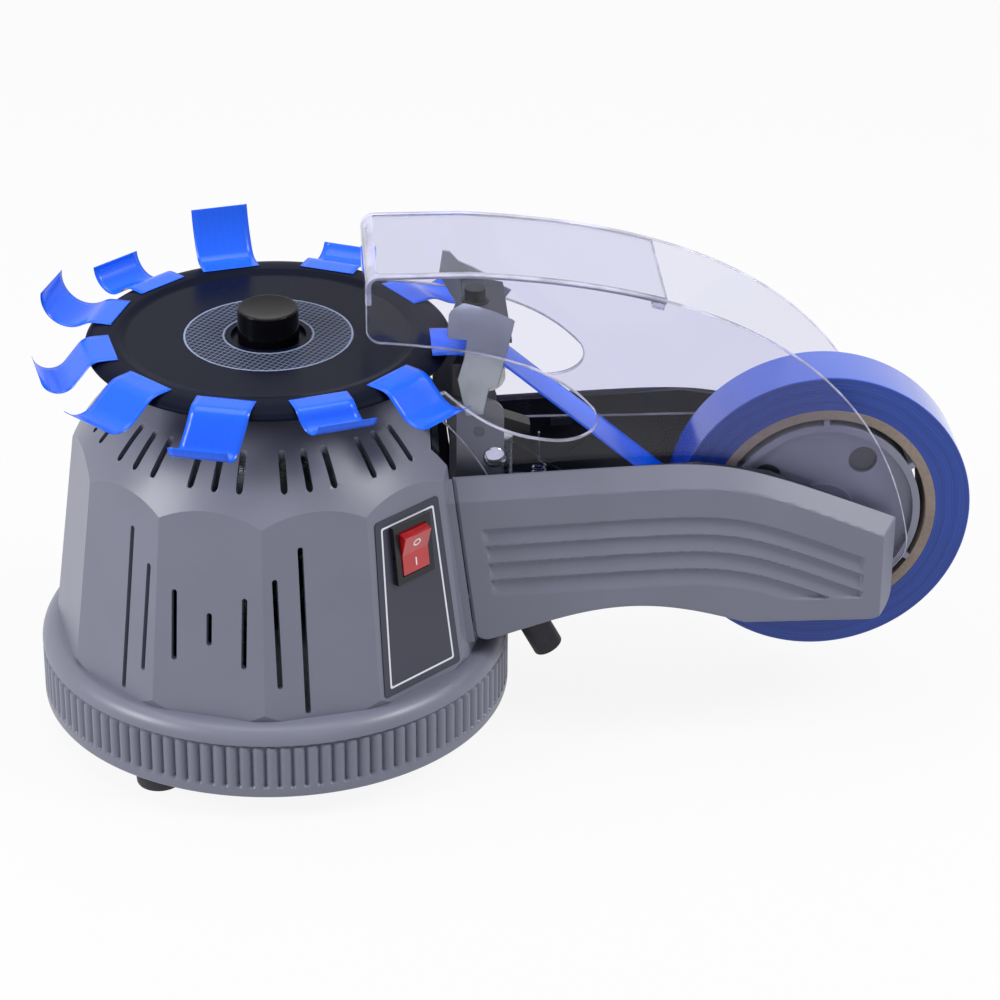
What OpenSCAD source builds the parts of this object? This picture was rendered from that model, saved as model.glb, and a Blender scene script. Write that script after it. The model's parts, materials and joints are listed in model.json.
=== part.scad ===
// Electric carousel tape dispenser: a motor turns a disc that carries cut strips of tape,
// and a forked arm at the side holds the roll, the cutter head and a clear hinged guard.
// Frame: +Z up, the table at z = 0, the disc's axis on Z, the arm along +X, the switch side at -Y.

/* [Base] */
// Height of the rubber feet, which is also the height of the ring's lower edge
foot_h = 9; // [6:0.5:14]
// Radius of a rubber foot at the table
foot_r = 8.2; // [6:0.1:10]
// Distance of the feet from the disc's axis
foot_ring_r = 72; // [60:0.5:74]
// Turn of the first foot from the switch side
foot_turn = -37; // [-60:1:60]
// Number of feet
foot_count = 3; // [3:1:5]
// Radius of the base ring at the bottom of its grooves
ring_r = 84.8; // [82:0.2:92]
// Height of the base ring from its lower edge to its top
ring_h = 28; // [24:0.5:34]
// Wall of the base ring
ring_wall = 2.4; // [1.6:0.1:3.2]
// Radius of the ring's rounded shoulder
ring_shoulder = 6; // [3:0.5:8]
// Plain band below the ribs
ring_lip_h = 4.6; // [3:0.2:7]
// Height of the ribs
rib_h = 16.6; // [8:0.2:17]
// How far the ribs stand out
rib_depth = 1.6; // [0.8:0.1:2.4]
// Number of ribs round the ring
rib_count = 112; // [60:1:130]
// Thickness of the steel base plate
plate_t = 2.5; // [1.5:0.1:4]

/* [Body shell] */
// Number of flat facets round the body
facet_count = 12; // [11:1:14]
// Turn of the first ridge from the switch side
facet_turn = -3.2; // [-10:0.2:10]
// Distance of the ridges from the axis at the foot of the body
body_foot_r = 81.2; // [80:0.1:81.8]
// Lean of the ridges towards the axis
body_lean = 7.24; // [6.5:0.01:7.8]
// Wall of the body shell
shell_wall = 2.4; // [1.6:0.1:3]
// Radius of the round dome
dome_r = 84.6; // [84:0.1:85.4]
// Height of the middle of the dome's sphere
dome_mid_z = 64.9; // [64.2:0.1:65.5]
// Height of the dome's flat top
dome_top_z = 144.5; // [142:0.25:145]
// Radius of the opening under the disc
dome_hole_r = 20; // [16:0.5:24]
// Width of a slot in the facets
slot_w = 2; // [1:0.1:3]
// Distance between the slots
slot_step = 12.9; // [11:0.1:13.4]
// Half length of the shortest slot
slot_half = 6.2; // [4:0.1:6.6]
// Height of the middle of the slots
slot_mid_z = 69.9; // [69.4:0.1:71]
// Width of a vent in the dome
vent_w = 2.5; // [1.5:0.1:3]
// Distance of the vents' lower ends from the axis
vent_out_r = 64.7; // [62:0.1:66]
// Distance of the vents' upper ends from the axis
vent_in_r = 53.1; // [50:0.1:58]
// Angle between the vents of one group
vent_step = 8; // [6:0.5:9]

/* [Switch panel] */
// Width of the label at its top
label_top_w = 31; // [28:0.5:35]
// Width of the label at its foot
label_foot_w = 37.5; // [34:0.5:40]
// Height of the label's lower edge
label_foot_z = 39.5; // [39:0.5:48]
// Height of the label's upper edge
label_top_z = 105.7; // [104:0.1:107]
// Thickness of the label
label_t = 0.4; // [0.2:0.1:0.6]
// Width of the switch bezel
bezel_w = 17.9; // [16.5:0.1:20]
// Height of the switch bezel
bezel_h = 22; // [21:0.25:25]
// Thickness of the switch bezel
bezel_t = 2; // [1:0.1:3]
// Height of the switch above the table
switch_z = 91.1; // [86:0.1:91.5]
// Width of the rocker
rocker_w = 12.5; // [10:0.25:13]
// Radius of the rocker about its pivot
rocker_r = 8.2; // [7:0.1:8.5]
// Half of the rocker's swing
rocker_tilt = 10; // [6:0.5:12]

/* [Carousel] */
// Radius of the disc
disc_r = 65.5; // [62:0.25:66]
// Height of the disc's rim
rim_z = 151.5; // [150.5:0.25:153]
// Thickness of the disc
disc_t = 4.4; // [3:0.1:5]
// Width of the raised rim
rim_w = 10.5; // [8:0.25:12]
// Depth of the disc's dish inside the rim
dish_d = 1.2; // [0.4:0.1:1.6]
// Outer radius of the printed ring
mark_out_r = 30.5; // [26:0.25:36]
// Inner radius of the printed ring
mark_in_r = 15.5; // [14:0.25:18]
// Thickness of the printed ring
mark_t = 0.4; // [0.2:0.05:0.6]
// Radius of the knob
knob_r = 11; // [9:0.25:12.5]
// Height of the knob's top
knob_z = 161; // [157:0.5:165]
// Radius of the spindle
spindle_r = 5; // [4:0.25:6]
// Teeth of the drive gear
gear_teeth = 60; // [54:6:66]
// Teeth of the motor pinion
pinion_teeth = 20; // [18:2:22]
// Module of the gears
gear_module = 1; // [0.95:0.01:1.05]
// Width of the gears
gear_w = 8; // [5:0.5:9]
// Height of the underside of the gears
gear_z = 84; // [83.5:0.5:87]
// Width of the tape
tape_w = 23; // [12:0.5:23.2]
// Thickness of a tape strip with its curl
strip_t = 0.4; // [0.3:0.05:0.6]

/* [Arm] */
// Half width over the arm covers
cover_out_y = 38; // [36:0.25:42]
// Height of the arm's top edge at the body
arm_root_z = 107.1; // [104:0.25:108]
// Distance of the arm's end from the disc's axis
arm_end_x = 224.8; // [222:0.25:234]
// Height of the arm's underside at the body
arm_low_z = 43; // [40:0.25:45]
// Height of the arm's underside at its end
arm_tail_z = 47.3; // [44:0.25:50]
// Rise of the arch under the arm
arch_rise = 10.4; // [6:0.2:12]
// Drop of the chamfer along the arm's top edge
chamfer_drop = 7; // [4:0.25:8]
// Depth of the grooves in the covers
groove_d = 1.2; // [0.6:0.1:1.6]
// Width of the grooves in the covers
groove_w = 2.2; // [1.4:0.1:3]
// Thickness of the arm's inner walls
arm_wall = 2.2; // [1.8:0.1:3]
// Radius of the cord bushing
bushing_r = 5.7; // [5:0.1:7]
// Lean of the cord bushing
bushing_lean = 28; // [20:1:35]
// Length of the cord bushing below the floor of the arm
bushing_len = 40; // [30:1:44]

/* [Roll] */
// Distance of the roll's axle from the disc's axis
roll_x = 199; // [197:0.25:200]
// Height of the roll's axle
roll_z = 85; // [84:0.25:86]
// Outer diameter of the roll of tape
tape_od = 109; // [90:1:112]
// Bore of the cardboard core
core_id = 76.2; // [75:0.1:78]
// Wall of the cardboard core
core_wall = 3.8; // [2:0.1:5]
// Radius of the roll's axle
axle_r = 5; // [4:0.25:5.5]
// Length of the hub
hub_len = 49.4; // [47:0.2:49.8]
// Wall of the hub
hub_wall = 2.6; // [2:0.1:3.5]
// Radius of the holes in the hub's face
hub_hole_r = 5.2; // [4:0.1:6]

/* [Guard] */
// Half width over the guard's sides
guard_half = 28.5; // [28:0.1:30]
// Thickness of the guard
guard_t = 2.2; // [1.6:0.1:2.4]
// Height of the guard's roof
guard_top_z = 184.6; // [182:0.25:190]
// Distance of the guard's front from the disc's axis
guard_front_x = 34; // [30:0.5:38]
// Distance of the end of the guard's roof from the disc's axis
guard_roof_x = 141; // [130:1:146]
// Distance of the guard's pivot from the disc's axis
pivot_x = 220.5; // [219:0.25:222]
// Height of the guard's pivot
pivot_z = 73; // [72:0.25:74]
// Radius of the guard's pivot pins
pivot_r = 2.5; // [2:0.1:3]

/* [Cutter head] */
// Half width over the guide plates
head_half = 25.6; // [25.4:0.05:25.8]
// Thickness of the guide plates
guide_t = 1; // [0.8:0.05:1.1]
// Radius of the tape roller
roller_r = 6; // [5:0.1:6.2]
// Radius of the roller and lever pins
pin_r = 2; // [1.5:0.05:2.2]
// Distance of the lever's pivot from the disc's axis
lever_x = 74; // [73:0.25:75]
// Height of the lever's pivot
lever_z = 122; // [121:0.25:123]
// Outer radius of the return spring
spring_r = 2.9; // [2.4:0.1:3.4]
// Wire of the return spring
wire_d = 0.8; // [0.6:0.05:0.9]
// Curls of the return spring
spring_turns = 12; // [8:1:12]

/* [Fits] */
// Running clearance of shafts and pins, on the radius
run_fit = 0.05; // [0.02:0.01:0.09]
// Gap between pieces that seat in one another
seat_gap = 0.1; // [0.05:0.01:0.2]
// Gap between pieces that pass one another
pass_gap = 0.3; // [0.2:0.05:0.5]

/* [Hidden] */
$fn = 72;

// Colours
plastic_grey = [0.46, 0.47, 0.52];
black = [0.08, 0.08, 0.09];
steel = [0.7, 0.71, 0.73];
zinc = [0.55, 0.57, 0.57];
tape_blue = [0.1, 0.38, 0.92];
clear = [0.84, 0.84, 0.92, 0.4];

// Small overlap that keeps a cut from ending on a face
eps = 0.5;
facet_step = 360 / facet_count;
ring_top_z = foot_h + ring_h;
plate_top_z = foot_h + plate_t;
ring_in_r = ring_r - ring_wall;
facet_share = cos(facet_step / 2);
deck_z = 100;
deck_t = 2.5;
deck_r = 53;
post_ring_r = 46;
post_r = 4;
post_count = 3;
post_turn = -10;
screw_r = 1.6;
head_r = 3;
head_h = 2;
wall_in_y = guard_half + 1.2;
wall_out_y = wall_in_y + arm_wall;
ridge_y = wall_out_y + seat_gap;
guide_in = head_half - guide_t;
tape_near_y = -(guide_in - 0.4);
tape_mid_y = tape_near_y + tape_w / 2;
tape_far_y = tape_near_y + tape_w;
tape_r = tape_od / 2;
core_r = core_id / 2;
gear_gap = 0.15;
gear_run = gear_module * (gear_teeth + pinion_teeth) / 2 + gear_gap;
guard_in = guard_half - guard_t;

// Helpers
function unit(v) = v / norm(v);
function bezier(a, b, c, d, n) = [for (i = [0:n]) let (t = i / n, s = 1 - t)
  s * s * s * a + 3 * s * s * t * b + 3 * s * t * t * c + t * t * t * d];
function arc(centre, r, from, to, n) = [for (i = [0:n]) let (w = from + (to - from) * i / n)
  centre + r * [cos(w), sin(w)]];
// Inset of a closed outline that runs anticlockwise
function inset(p, d) = [for (i = [0:len(p) - 1])
  let (a = p[(i + len(p) - 1) % len(p)], b = p[i], c = p[(i + 1) % len(p)],
    u = unit(b - a), v = unit(c - b), m = [-u.y, u.x], n = [-v.y, v.x])
  b + d * (m + n) / (1 + m * n)];
function reversed(p) = [for (i = [len(p) - 1:-1:0]) p[i]];
// Band of even thickness along an open line
function band(p, t) = let (last = len(p) - 1,
  normals = [for (i = [0:last]) let (u = unit(p[min(i + 1, last)] - p[max(i - 1, 0)])) [-u.y, u.x]])
  concat([for (i = [0:last]) p[i] + normals[i] * t / 2],
    [for (i = [last:-1:0]) p[i] - normals[i] * t / 2]);
// Distance of the ridges from the axis at a height
function ridge_at(z) = body_foot_r - (z - ring_top_z) * tan(body_lean);
// Distance of the facets' middles from the axis at a height
function facet_at(z) = ridge_at(z) * facet_share;
function facet_angle(i) = facet_turn + facet_step * (i + 0.5);

// Extrudes an outline drawn in x and z between two places along y
module along_y(from, to) {
  translate([0, to, 0])
    rotate([90, 0, 0])
      linear_extrude(to - from)
        children();
}
// Lays the y axis of a cylinder
module pin_along_y(x, z, from, to, r) {
  translate([x, from, z])
    rotate([-90, 0, 0])
      cylinder(h = to - from, r = r);
}
// Turns from the switch side towards the arm
module turned(angle) {
  rotate([0, 0, angle])
    children();
}
module ring_of(count, radius, start) {
  for (i = [0:count - 1])
    turned(start + 360 / count * i)
      translate([0, -radius, 0])
        children();
}
// Screw with its head's underside at the origin, pointing down
module screw_down(r, len, head, high) {
  translate([0, 0, -len])
    cylinder(h = len, r = r);
  cylinder(h = high, r = head);
}

// Base
base_screw_count = 6;
base_boss_r = 3.6;
base_screw_ring_r = ring_in_r - base_boss_r - 0.2;
// Turn of the first screw, midway between two feet
base_screw_turn = foot_turn + 30;
lip_proud = 0.2;
// Width of the ring's top on which the body stands
ring_seat_w = 9.8;
ring_edge_r = 1.6;
module base_ring() {
  rib_z = foot_h + ring_lip_h;
  rib_top_z = rib_z + rib_h;
  lip_r = ring_r + rib_depth + lip_proud;
  crest = 0.46;
  flank = 0.17;
  pitch = 360 / rib_count;
  outline = [for (i = [0:rib_count - 1], k = [[0, 0], [flank, 1], [flank + crest, 1], [2 * flank + crest, 0]])
    (ring_r + rib_depth * k[1]) * [cos(pitch * (i + k[0])), sin(pitch * (i + k[0]))]];
  inner_foot_r = ring_r - ring_seat_w;
  boss_top_z = ring_top_z - ring_wall + eps;
  color(plastic_grey) difference() {
    union() {
      difference() {
        union() {
          translate([0, 0, rib_z - eps])
            linear_extrude(rib_h + 2 * eps)
              polygon(outline);
          rotate_extrude()
            polygon(concat([[0, foot_h]],
              arc([lip_r - ring_edge_r, foot_h + ring_edge_r], ring_edge_r, -90, 0, 4),
              [[lip_r, rib_z], [0, rib_z]]));
          rotate_extrude()
            polygon(concat([[0, rib_top_z], [lip_r, rib_top_z]],
              arc([lip_r - ring_shoulder, ring_top_z - ring_shoulder], ring_shoulder, 0, 90, 8),
              [[0, ring_top_z]]));
        }
        translate([0, 0, foot_h - eps])
          cylinder(h = ring_h - ring_wall + eps, r = ring_in_r);
        translate([0, 0, foot_h])
          cylinder(h = ring_h + eps, r = inner_foot_r);
      }
      ring_of(base_screw_count, base_screw_ring_r, base_screw_turn)
        translate([0, 0, plate_top_z])
          cylinder(h = boss_top_z - plate_top_z, r = base_boss_r);
    }
    ring_of(base_screw_count, base_screw_ring_r, base_screw_turn)
      translate([0, 0, foot_h])
        cylinder(h = boss_top_z - foot_h - 3, r = screw_r + run_fit);
  }
}
shell_post_ring_r = 60;
shell_post_r = 3.5;
shell_post_angles = [30, 150, 222, 342];
module base_plate() {
  color(steel) difference() {
    translate([0, 0, foot_h])
      cylinder(h = plate_t, r = ring_in_r - seat_gap);
    ring_of(base_screw_count, base_screw_ring_r, base_screw_turn)
      cylinder(h = plate_top_z + eps, r = screw_r + seat_gap);
    ring_of(foot_count, foot_ring_r, foot_turn)
      cylinder(h = plate_top_z + eps, r = screw_r + seat_gap);
    ring_of(post_count, post_ring_r, post_turn)
      cylinder(h = plate_top_z + eps, r = screw_r + seat_gap);
    for (angle = shell_post_angles)
      turned(angle)
        translate([0, -shell_post_ring_r, 0])
          cylinder(h = plate_top_z + eps, r = screw_r + seat_gap);
  }
}
module base_screws() {
  color(steel) ring_of(base_screw_count, base_screw_ring_r, base_screw_turn)
    translate([0, 0, foot_h])
      mirror([0, 0, 1])
        screw_down(screw_r, plate_t + 10, head_r, head_h);
}
foot_bore_r = head_r + seat_gap;
foot_seat_z = 4;
module feet() {
  color(black) ring_of(foot_count, foot_ring_r, foot_turn)
    difference() {
      cylinder(h = foot_h, r1 = foot_r, r2 = foot_r + 0.8);
      translate([0, 0, -eps])
        cylinder(h = foot_seat_z + eps, r = foot_bore_r);
      cylinder(h = foot_h + eps, r = screw_r + seat_gap);
    }
}
module foot_screws() {
  color(steel) ring_of(foot_count, foot_ring_r, foot_turn)
    translate([0, 0, foot_seat_z])
      mirror([0, 0, 1])
        screw_down(screw_r, plate_top_z + 2 - foot_seat_z, head_r, head_h);
}

// Body shell
function dome_z(r) = dome_mid_z + sqrt(dome_r * dome_r - r * r);
module body_solid(grow) {
  low = ring_top_z;
  high = dome_top_z + grow;
  foot = ridge_at(low) + grow / facet_share;
  head = ridge_at(high) + grow / facet_share;
  intersection() {
    translate([0, 0, low - eps * (grow < 0 ? 1 : 0)])
      rotate([0, 0, facet_turn - 90])
        cylinder(h = high - low + eps * (grow < 0 ? 1 : 0), r1 = foot, r2 = head, $fn = facet_count);
    translate([0, 0, dome_mid_z])
      sphere(r = dome_r + grow);
  }
}
arm_gap_y = wall_out_y + pass_gap;
bulkhead_x = 57;
bulkhead_t = 2.5;
arm_gap_low_z = arm_low_z + 3;
slot_across = [0, slot_step, -1.155 * slot_step, -0.411 * slot_step];
slot_halves = [slot_half, slot_half + 7.2, slot_half + 14.5, slot_half + 25.3];
slot_from_r = 64.5;
// A slot with round ends, its length along y
module round_slot(wide, long) {
  square([wide, long - wide], center = true);
  for (end = [-1, 1])
    translate([0, end * (long - wide) / 2])
      circle(d = wide, $fn = 24);
}
module facet_slots(middle) {
  for (k = [-3:3])
    turned(facet_angle(middle + (abs(k) < 2 ? 0 : sign(k))))
      translate([sign(k) * slot_across[abs(k)], -slot_from_r, slot_mid_z])
        rotate([90, 0, 0])
          linear_extrude(body_foot_r + 10 - slot_from_r)
            round_slot(slot_w, 2 * slot_halves[abs(k)]);
}
arm_side_angle = 30;
module dome_vents() {
  for (i = [0:facet_count - 1], k = [-1:1])
    if (abs(facet_angle(i) - 90) > arm_side_angle)
      turned(facet_angle(i) + k * vent_step)
        translate([0, -(vent_out_r + vent_in_r) / 2, dome_z(vent_out_r) - 4])
          linear_extrude(dome_top_z - dome_z(vent_out_r))
            round_slot(vent_w, vent_out_r - vent_in_r);
}
// Cheek that meets the arm's cover at its root
module near_cheek() {
  difference() {
    along_y(-cover_out_y, -arm_gap_y)
      polygon([[bulkhead_x, arm_low_z], [arm_root_x + arm_lean_x - pass_gap, arm_low_z],
        [arm_root_x - pass_gap, arm_root_z], [bulkhead_x, arm_root_z]]);
    chamfer_cut(arm_top[0], arm_top[1], chamfer_drop);
  }
}
// Room for the end of the arm's cover, a gap wider than the cover
module cover_room() {
  along_y(-cover_out_y - eps, -ridge_y + pass_gap)
    polygon([[arm_root_x + arm_lean_x - pass_gap, arm_low_z - pass_gap], [bend_in_x, arm_low_z - pass_gap],
      [bend_in_x, arm_root_z + arm_rise], [arm_root_x - pass_gap, arm_root_z + pass_gap]]);
}
front_slots_facet = -1;
rear_slots_facet = 6;
panel_facet = 1;
panel_mid_z = (label_foot_z + label_top_z) / 2;
// Frame on the switch facet: x across, y up the facet, z outwards
module on_panel(z) {
  turned(facet_angle(panel_facet))
    translate([0, -facet_at(z), z])
      rotate([90 - atan(tan(body_lean) * facet_share), 0, 0])
        children();
}
switch_body_w = rocker_w + 2.6;
switch_body_h = 2 * rocker_r + 2.8;
switch_depth = 20;
module body_shell() {
  color(plastic_grey) difference() {
    union() {
      difference() {
        body_solid(0);
        body_solid(-shell_wall);
      }
      for (side = [0, 1])
        mirror([0, side, 0])
          near_cheek();
      intersection() {
        body_solid(-shell_wall / 2);
        for (angle = shell_post_angles)
          turned(angle)
            translate([0, -shell_post_ring_r, ring_top_z])
              cylinder(h = dome_top_z, r = shell_post_r);
      }
      for (angle = shell_post_angles)
        turned(angle)
          translate([0, -shell_post_ring_r, plate_top_z])
            cylinder(h = ring_top_z - plate_top_z + eps, r = shell_post_r);
    }
    translate([0, 0, dome_top_z - 3 * shell_wall])
      cylinder(h = 4 * shell_wall, r = dome_hole_r);
    translate([bulkhead_x - eps, -arm_gap_y, arm_gap_low_z])
      cube([body_foot_r, 2 * arm_gap_y, dome_top_z]);
    facet_slots(front_slots_facet);
    facet_slots(rear_slots_facet);
    for (side = [0, 1])
      mirror([0, side, 0])
        cover_room();
    dome_vents();
    on_panel(switch_z)
      cube([switch_body_w + 2 * seat_gap, switch_body_h + 2 * seat_gap, 6 * shell_wall], center = true);
    for (angle = shell_post_angles)
      turned(angle)
        translate([0, -shell_post_ring_r, 0])
          cylinder(h = plate_top_z + 12, r = screw_r + run_fit);
  }
}
module shell_screws() {
  color(steel) for (angle = shell_post_angles)
    turned(angle)
      translate([0, -shell_post_ring_r, foot_h])
        mirror([0, 0, 1])
          screw_down(screw_r, plate_t + 10, head_r, head_h);
}

// Switch panel
film_gap = 0.03;
module switch_label() {
  lean = cos(atan(tan(body_lean) * facet_share));
  half = (label_top_z - label_foot_z) / 2 / lean;
  color([0.24, 0.25, 0.31]) difference() {
    on_panel(panel_mid_z)
      translate([0, 0, film_gap])
        linear_extrude(label_t - film_gap)
          polygon([[-label_foot_w / 2, -half], [label_foot_w / 2, -half],
            [label_top_w / 2, half], [-label_top_w / 2, half]]);
    on_panel(switch_z)
      cube([switch_body_w + 2 * seat_gap, switch_body_h + 2 * seat_gap, 10], center = true);
  }
}
rocker_pin_r = 1.2;
rocker_pin_len = 0.9;
pivot_rise = label_t + 0.3;
module switch_housing() {
  room_w = rocker_w + 2 * pass_gap;
  room_h = 2 * (rocker_r + pass_gap);
  color(black) on_panel(switch_z)
    difference() {
      union() {
        translate([-bezel_w / 2, -bezel_h / 2, label_t])
          cube([bezel_w, bezel_h, bezel_t]);
        translate([-switch_body_w / 2, -switch_body_h / 2, -switch_depth])
          cube([switch_body_w, switch_body_h, switch_depth + label_t + eps]);
      }
      translate([-room_w / 2, -room_h / 2, -rocker_r - 2])
        cube([room_w, room_h, rocker_r + 10]);
      translate([-bezel_w, 0, pivot_rise])
        rotate([0, 90, 0])
          cylinder(h = 2 * bezel_w, r = rocker_pin_r + run_fit, $fn = 24);
    }
  color(steel) on_panel(switch_z)
    for (side = [-1, 0, 1])
      translate([-2.4, side * 6 - 0.4, -switch_depth - 7])
        cube([4.8, 0.8, 7]);
}
module rocker() {
  color([0.75, 0.08, 0.08]) on_panel(switch_z)
    translate([0, 0, pivot_rise])
      rotate([rocker_tilt, 0, 0])
        rotate([90, 0, 90])
          union() {
            translate([0, 0, -rocker_w / 2])
              linear_extrude(rocker_w)
                intersection() {
                  circle(r = rocker_r);
                  polygon([[-rocker_r, -4], [rocker_r, -4], [rocker_r, 2.2 + rocker_r * tan(rocker_tilt)],
                    [0, 2.2], [-rocker_r, 2.2 + rocker_r * tan(rocker_tilt)]]);
                }
            translate([0, 0, -rocker_w / 2 - rocker_pin_len])
              cylinder(h = rocker_w + 2 * rocker_pin_len, r = rocker_pin_r, $fn = 24);
          }
}

// Arm
arm_root_x = 64.2;
arm_lean_x = 8.2;
arm_rise = 4.1;
bend_in_x = 152.8;
bend_out_x = 178;
arm_nose_z = 86.8;
arch_from_x = 86;
arch_to_x = 171;
end_corner_r = 9;
function slope_z(x) = arm_nose_z + (arm_end_x - x) * 0.433;
arm_top = [[arm_root_x, arm_root_z], [bend_in_x, arm_root_z + arm_rise], [bend_out_x, slope_z(bend_out_x)],
  [arm_end_x, arm_nose_z]];
function arch_z(x) = let (t = (x - arch_from_x) / (arch_to_x - arch_from_x))
  arm_low_z + (arm_tail_z - arm_low_z) * t + arch_rise * (1 - cos(360 * t)) / 2;
arm_outline = concat([[arm_root_x + arm_lean_x, arm_low_z]],
  [for (i = [0:12]) let (x = arch_from_x + (arch_to_x - arch_from_x) * i / 12) [x, arch_z(x)]],
  arc([arm_end_x - end_corner_r, arm_tail_z + end_corner_r], end_corner_r, -90, 0, 4),
  reversed(arm_top));
module chamfer_cut(a, b, drop) {
  along = b - a;
  translate([a.x, -ridge_y, a.y])
    rotate([0, -atan2(along.y, along.x), 0])
      rotate([atan2(drop, cover_out_y - ridge_y), 0, 0])
        translate([-20, -30, 0])
          cube([norm(along) + 40, 60, 30]);
}
groove_left_x = 75;
groove_right_x = 213;
groove_bend_x = 166;
groove_top_z = 91;
groove_step = 7;
groove_rise = 2.8;
function groove_z(x, k) = groove_top_z - k * groove_step
  + (x < groove_bend_x ? groove_rise * (x - groove_left_x) / (groove_bend_x - groove_left_x)
    : groove_rise - (x - groove_bend_x) * 0.42);
function groove_end(k) = min(groove_right_x,
  groove_bend_x + (groove_z(groove_bend_x, k) - arm_tail_z - 10) / 0.42);
pocket_margin = 7;
cover_fix = [[71.6, 80], [79, 48], [219, 61]];
module near_cover() {
  difference() {
    along_y(-cover_out_y, -ridge_y)
      polygon(arm_outline);
    for (i = [0:len(arm_top) - 2])
      chamfer_cut(arm_top[i], arm_top[i + 1], chamfer_drop);
    chamfer_cut([arm_end_x, arm_nose_z], [arm_end_x, arm_tail_z], chamfer_drop * 0.7);
    along_y(-cover_out_y + shell_wall + groove_d, -ridge_y + eps)
      polygon(inset(arm_outline, pocket_margin));
    for (k = [0:3])
      along_y(-cover_out_y - eps, -cover_out_y + groove_d)
        polygon([[groove_left_x + k * 1.2, groove_z(groove_left_x, k) - groove_w / 2],
          [groove_bend_x, groove_z(groove_bend_x, k) - groove_w / 2],
          [groove_end(k), groove_z(groove_end(k), k) - groove_w / 2],
          [groove_end(k), groove_z(groove_end(k), k) + groove_w / 2],
          [groove_bend_x, groove_z(groove_bend_x, k) + groove_w / 2],
          [groove_left_x + k * 1.2, groove_z(groove_left_x, k) + groove_w / 2]]);
    for (p = cover_fix)
      pin_along_y(p.x, p.y, -ridge_y - 4.2, -ridge_y + eps, screw_r + run_fit);
  }
}
module near_arm_cover() {
  color(plastic_grey) near_cover();
}
module far_arm_cover() {
  color(plastic_grey) mirror([0, 1, 0]) near_cover();
}
wall_inset = 1;
floor_z = 57;
floor_t = 2.6;
floor_end_x = 128;
floor_fix = [[70, floor_z + floor_t / 2], [118, floor_z + floor_t / 2]];
rest_x = 104;
rest_w = 8;
guard_low_z = guard_top_z - 83.6;
// The guard's rest stands on the wall and reaches to the guard's lower edge
rest_h = 3;
rest_high_z = guard_low_z - pass_gap;
rest_low_z = min(rest_high_z - rest_h, arm_root_z - 2 * rest_h);
// Crossed stiffening ribs on the inside of a wall
module cross_ribs(from_x, to_x, low, high) {
  mid = [(from_x + to_x) / 2, (low + high) / 2];
  tilt = atan2(high - low, to_x - from_x);
  for (way = [-1, 1])
    translate([mid.x, -wall_in_y, mid.y])
      rotate([0, way * tilt, 0])
        cube([norm([to_x - from_x, high - low]), 1.4, 1.2], center = true);
}
module near_wall() {
  difference() {
    union() {
      along_y(-wall_out_y, -wall_in_y)
        polygon(inset(arm_outline, wall_inset));
      along_y(-wall_in_y - eps, -guard_in)
        translate([rest_x, rest_low_z])
          square([rest_w, rest_high_z - rest_low_z]);
      cross_ribs(84, 124, 66, 94);
    }
    pin_along_y(roll_x, roll_z, -wall_out_y - eps, -wall_in_y + eps, axle_r + run_fit);
    pin_along_y(pivot_x, pivot_z, -wall_out_y - eps, -wall_in_y + eps, pivot_r + run_fit);
    for (p = cover_fix) {
      pin_along_y(p.x, p.y, -wall_out_y - eps, -wall_in_y + eps, screw_r + seat_gap);
      pin_along_y(p.x, p.y, -wall_in_y - 1.2, -wall_in_y + eps, head_r + seat_gap);
    }
    for (p = floor_fix)
      pin_along_y(p.x, p.y, -wall_out_y - eps, -wall_in_y + eps, 1.1 + seat_gap);
  }
}
module near_arm_wall() {
  color(black) near_wall();
}
module far_arm_wall() {
  color(black) mirror([0, 1, 0]) near_wall();
}
bushing_top = [max(ring_r - 3.3, body_foot_r + pass_gap), floor_z];
bracket_fix_x = [68, 95];
bracket_fix_y = [-20, 20];
neck_r = bushing_r - 1.2;
module cord_path() {
  translate([bushing_top.x, 0, bushing_top.y])
    rotate([0, 180 - bushing_lean, 0])
      children();
}
module arm_floor() {
  root_x = bulkhead_x + bulkhead_t;
  color(black) difference() {
    union() {
      translate([bulkhead_x, -wall_in_y + seat_gap, floor_z])
        cube([floor_end_x - bulkhead_x, 2 * (wall_in_y - seat_gap), floor_t]);
      intersection() {
        translate([bulkhead_x, -wall_in_y + seat_gap, arm_gap_low_z + pass_gap])
          cube([bulkhead_t, 2 * (wall_in_y - seat_gap), dome_r]);
        translate([0, 0, dome_mid_z])
          sphere(r = dome_r - pass_gap);
      }
    }
    cord_path()
      translate([0, 0, -10])
        cylinder(h = 20, r = neck_r + seat_gap);
    for (p = floor_fix, side = [-1, 1])
      pin_along_y(p.x, p.y, side < 0 ? -wall_in_y - eps : wall_in_y - 8, side < 0 ? -wall_in_y + 8 : wall_in_y + eps,
        0.9 + run_fit);
    translate([0, 0, floor_z - eps])
      for (x = bracket_fix_x, y = bracket_fix_y)
        translate([x, y, 0])
          cylinder(h = floor_t + 2 * eps, r = screw_r + seat_gap);
    for (y = [-24, 24], z = [68, 96])
      translate([bulkhead_x - eps, y, z])
        rotate([0, 90, 0])
          cylinder(h = bulkhead_t + 2 * eps, r = screw_r + seat_gap);
  }
}
module cover_screws() {
  color(steel) for (side = [0, 1])
    mirror([0, side, 0])
      for (p = cover_fix) {
        pin_along_y(p.x, p.y, -ridge_y - 4, -wall_in_y - 1.1, screw_r);
        pin_along_y(p.x, p.y, -wall_in_y - 1.2 + seat_gap / 2, -wall_in_y - seat_gap, head_r);
      }
}
module floor_screws() {
  color(steel) for (side = [0, 1])
    mirror([0, side, 0])
      for (p = floor_fix)
        pin_along_y(p.x, p.y, -wall_out_y + seat_gap, -wall_in_y + 7, 0.9);
}
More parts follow.
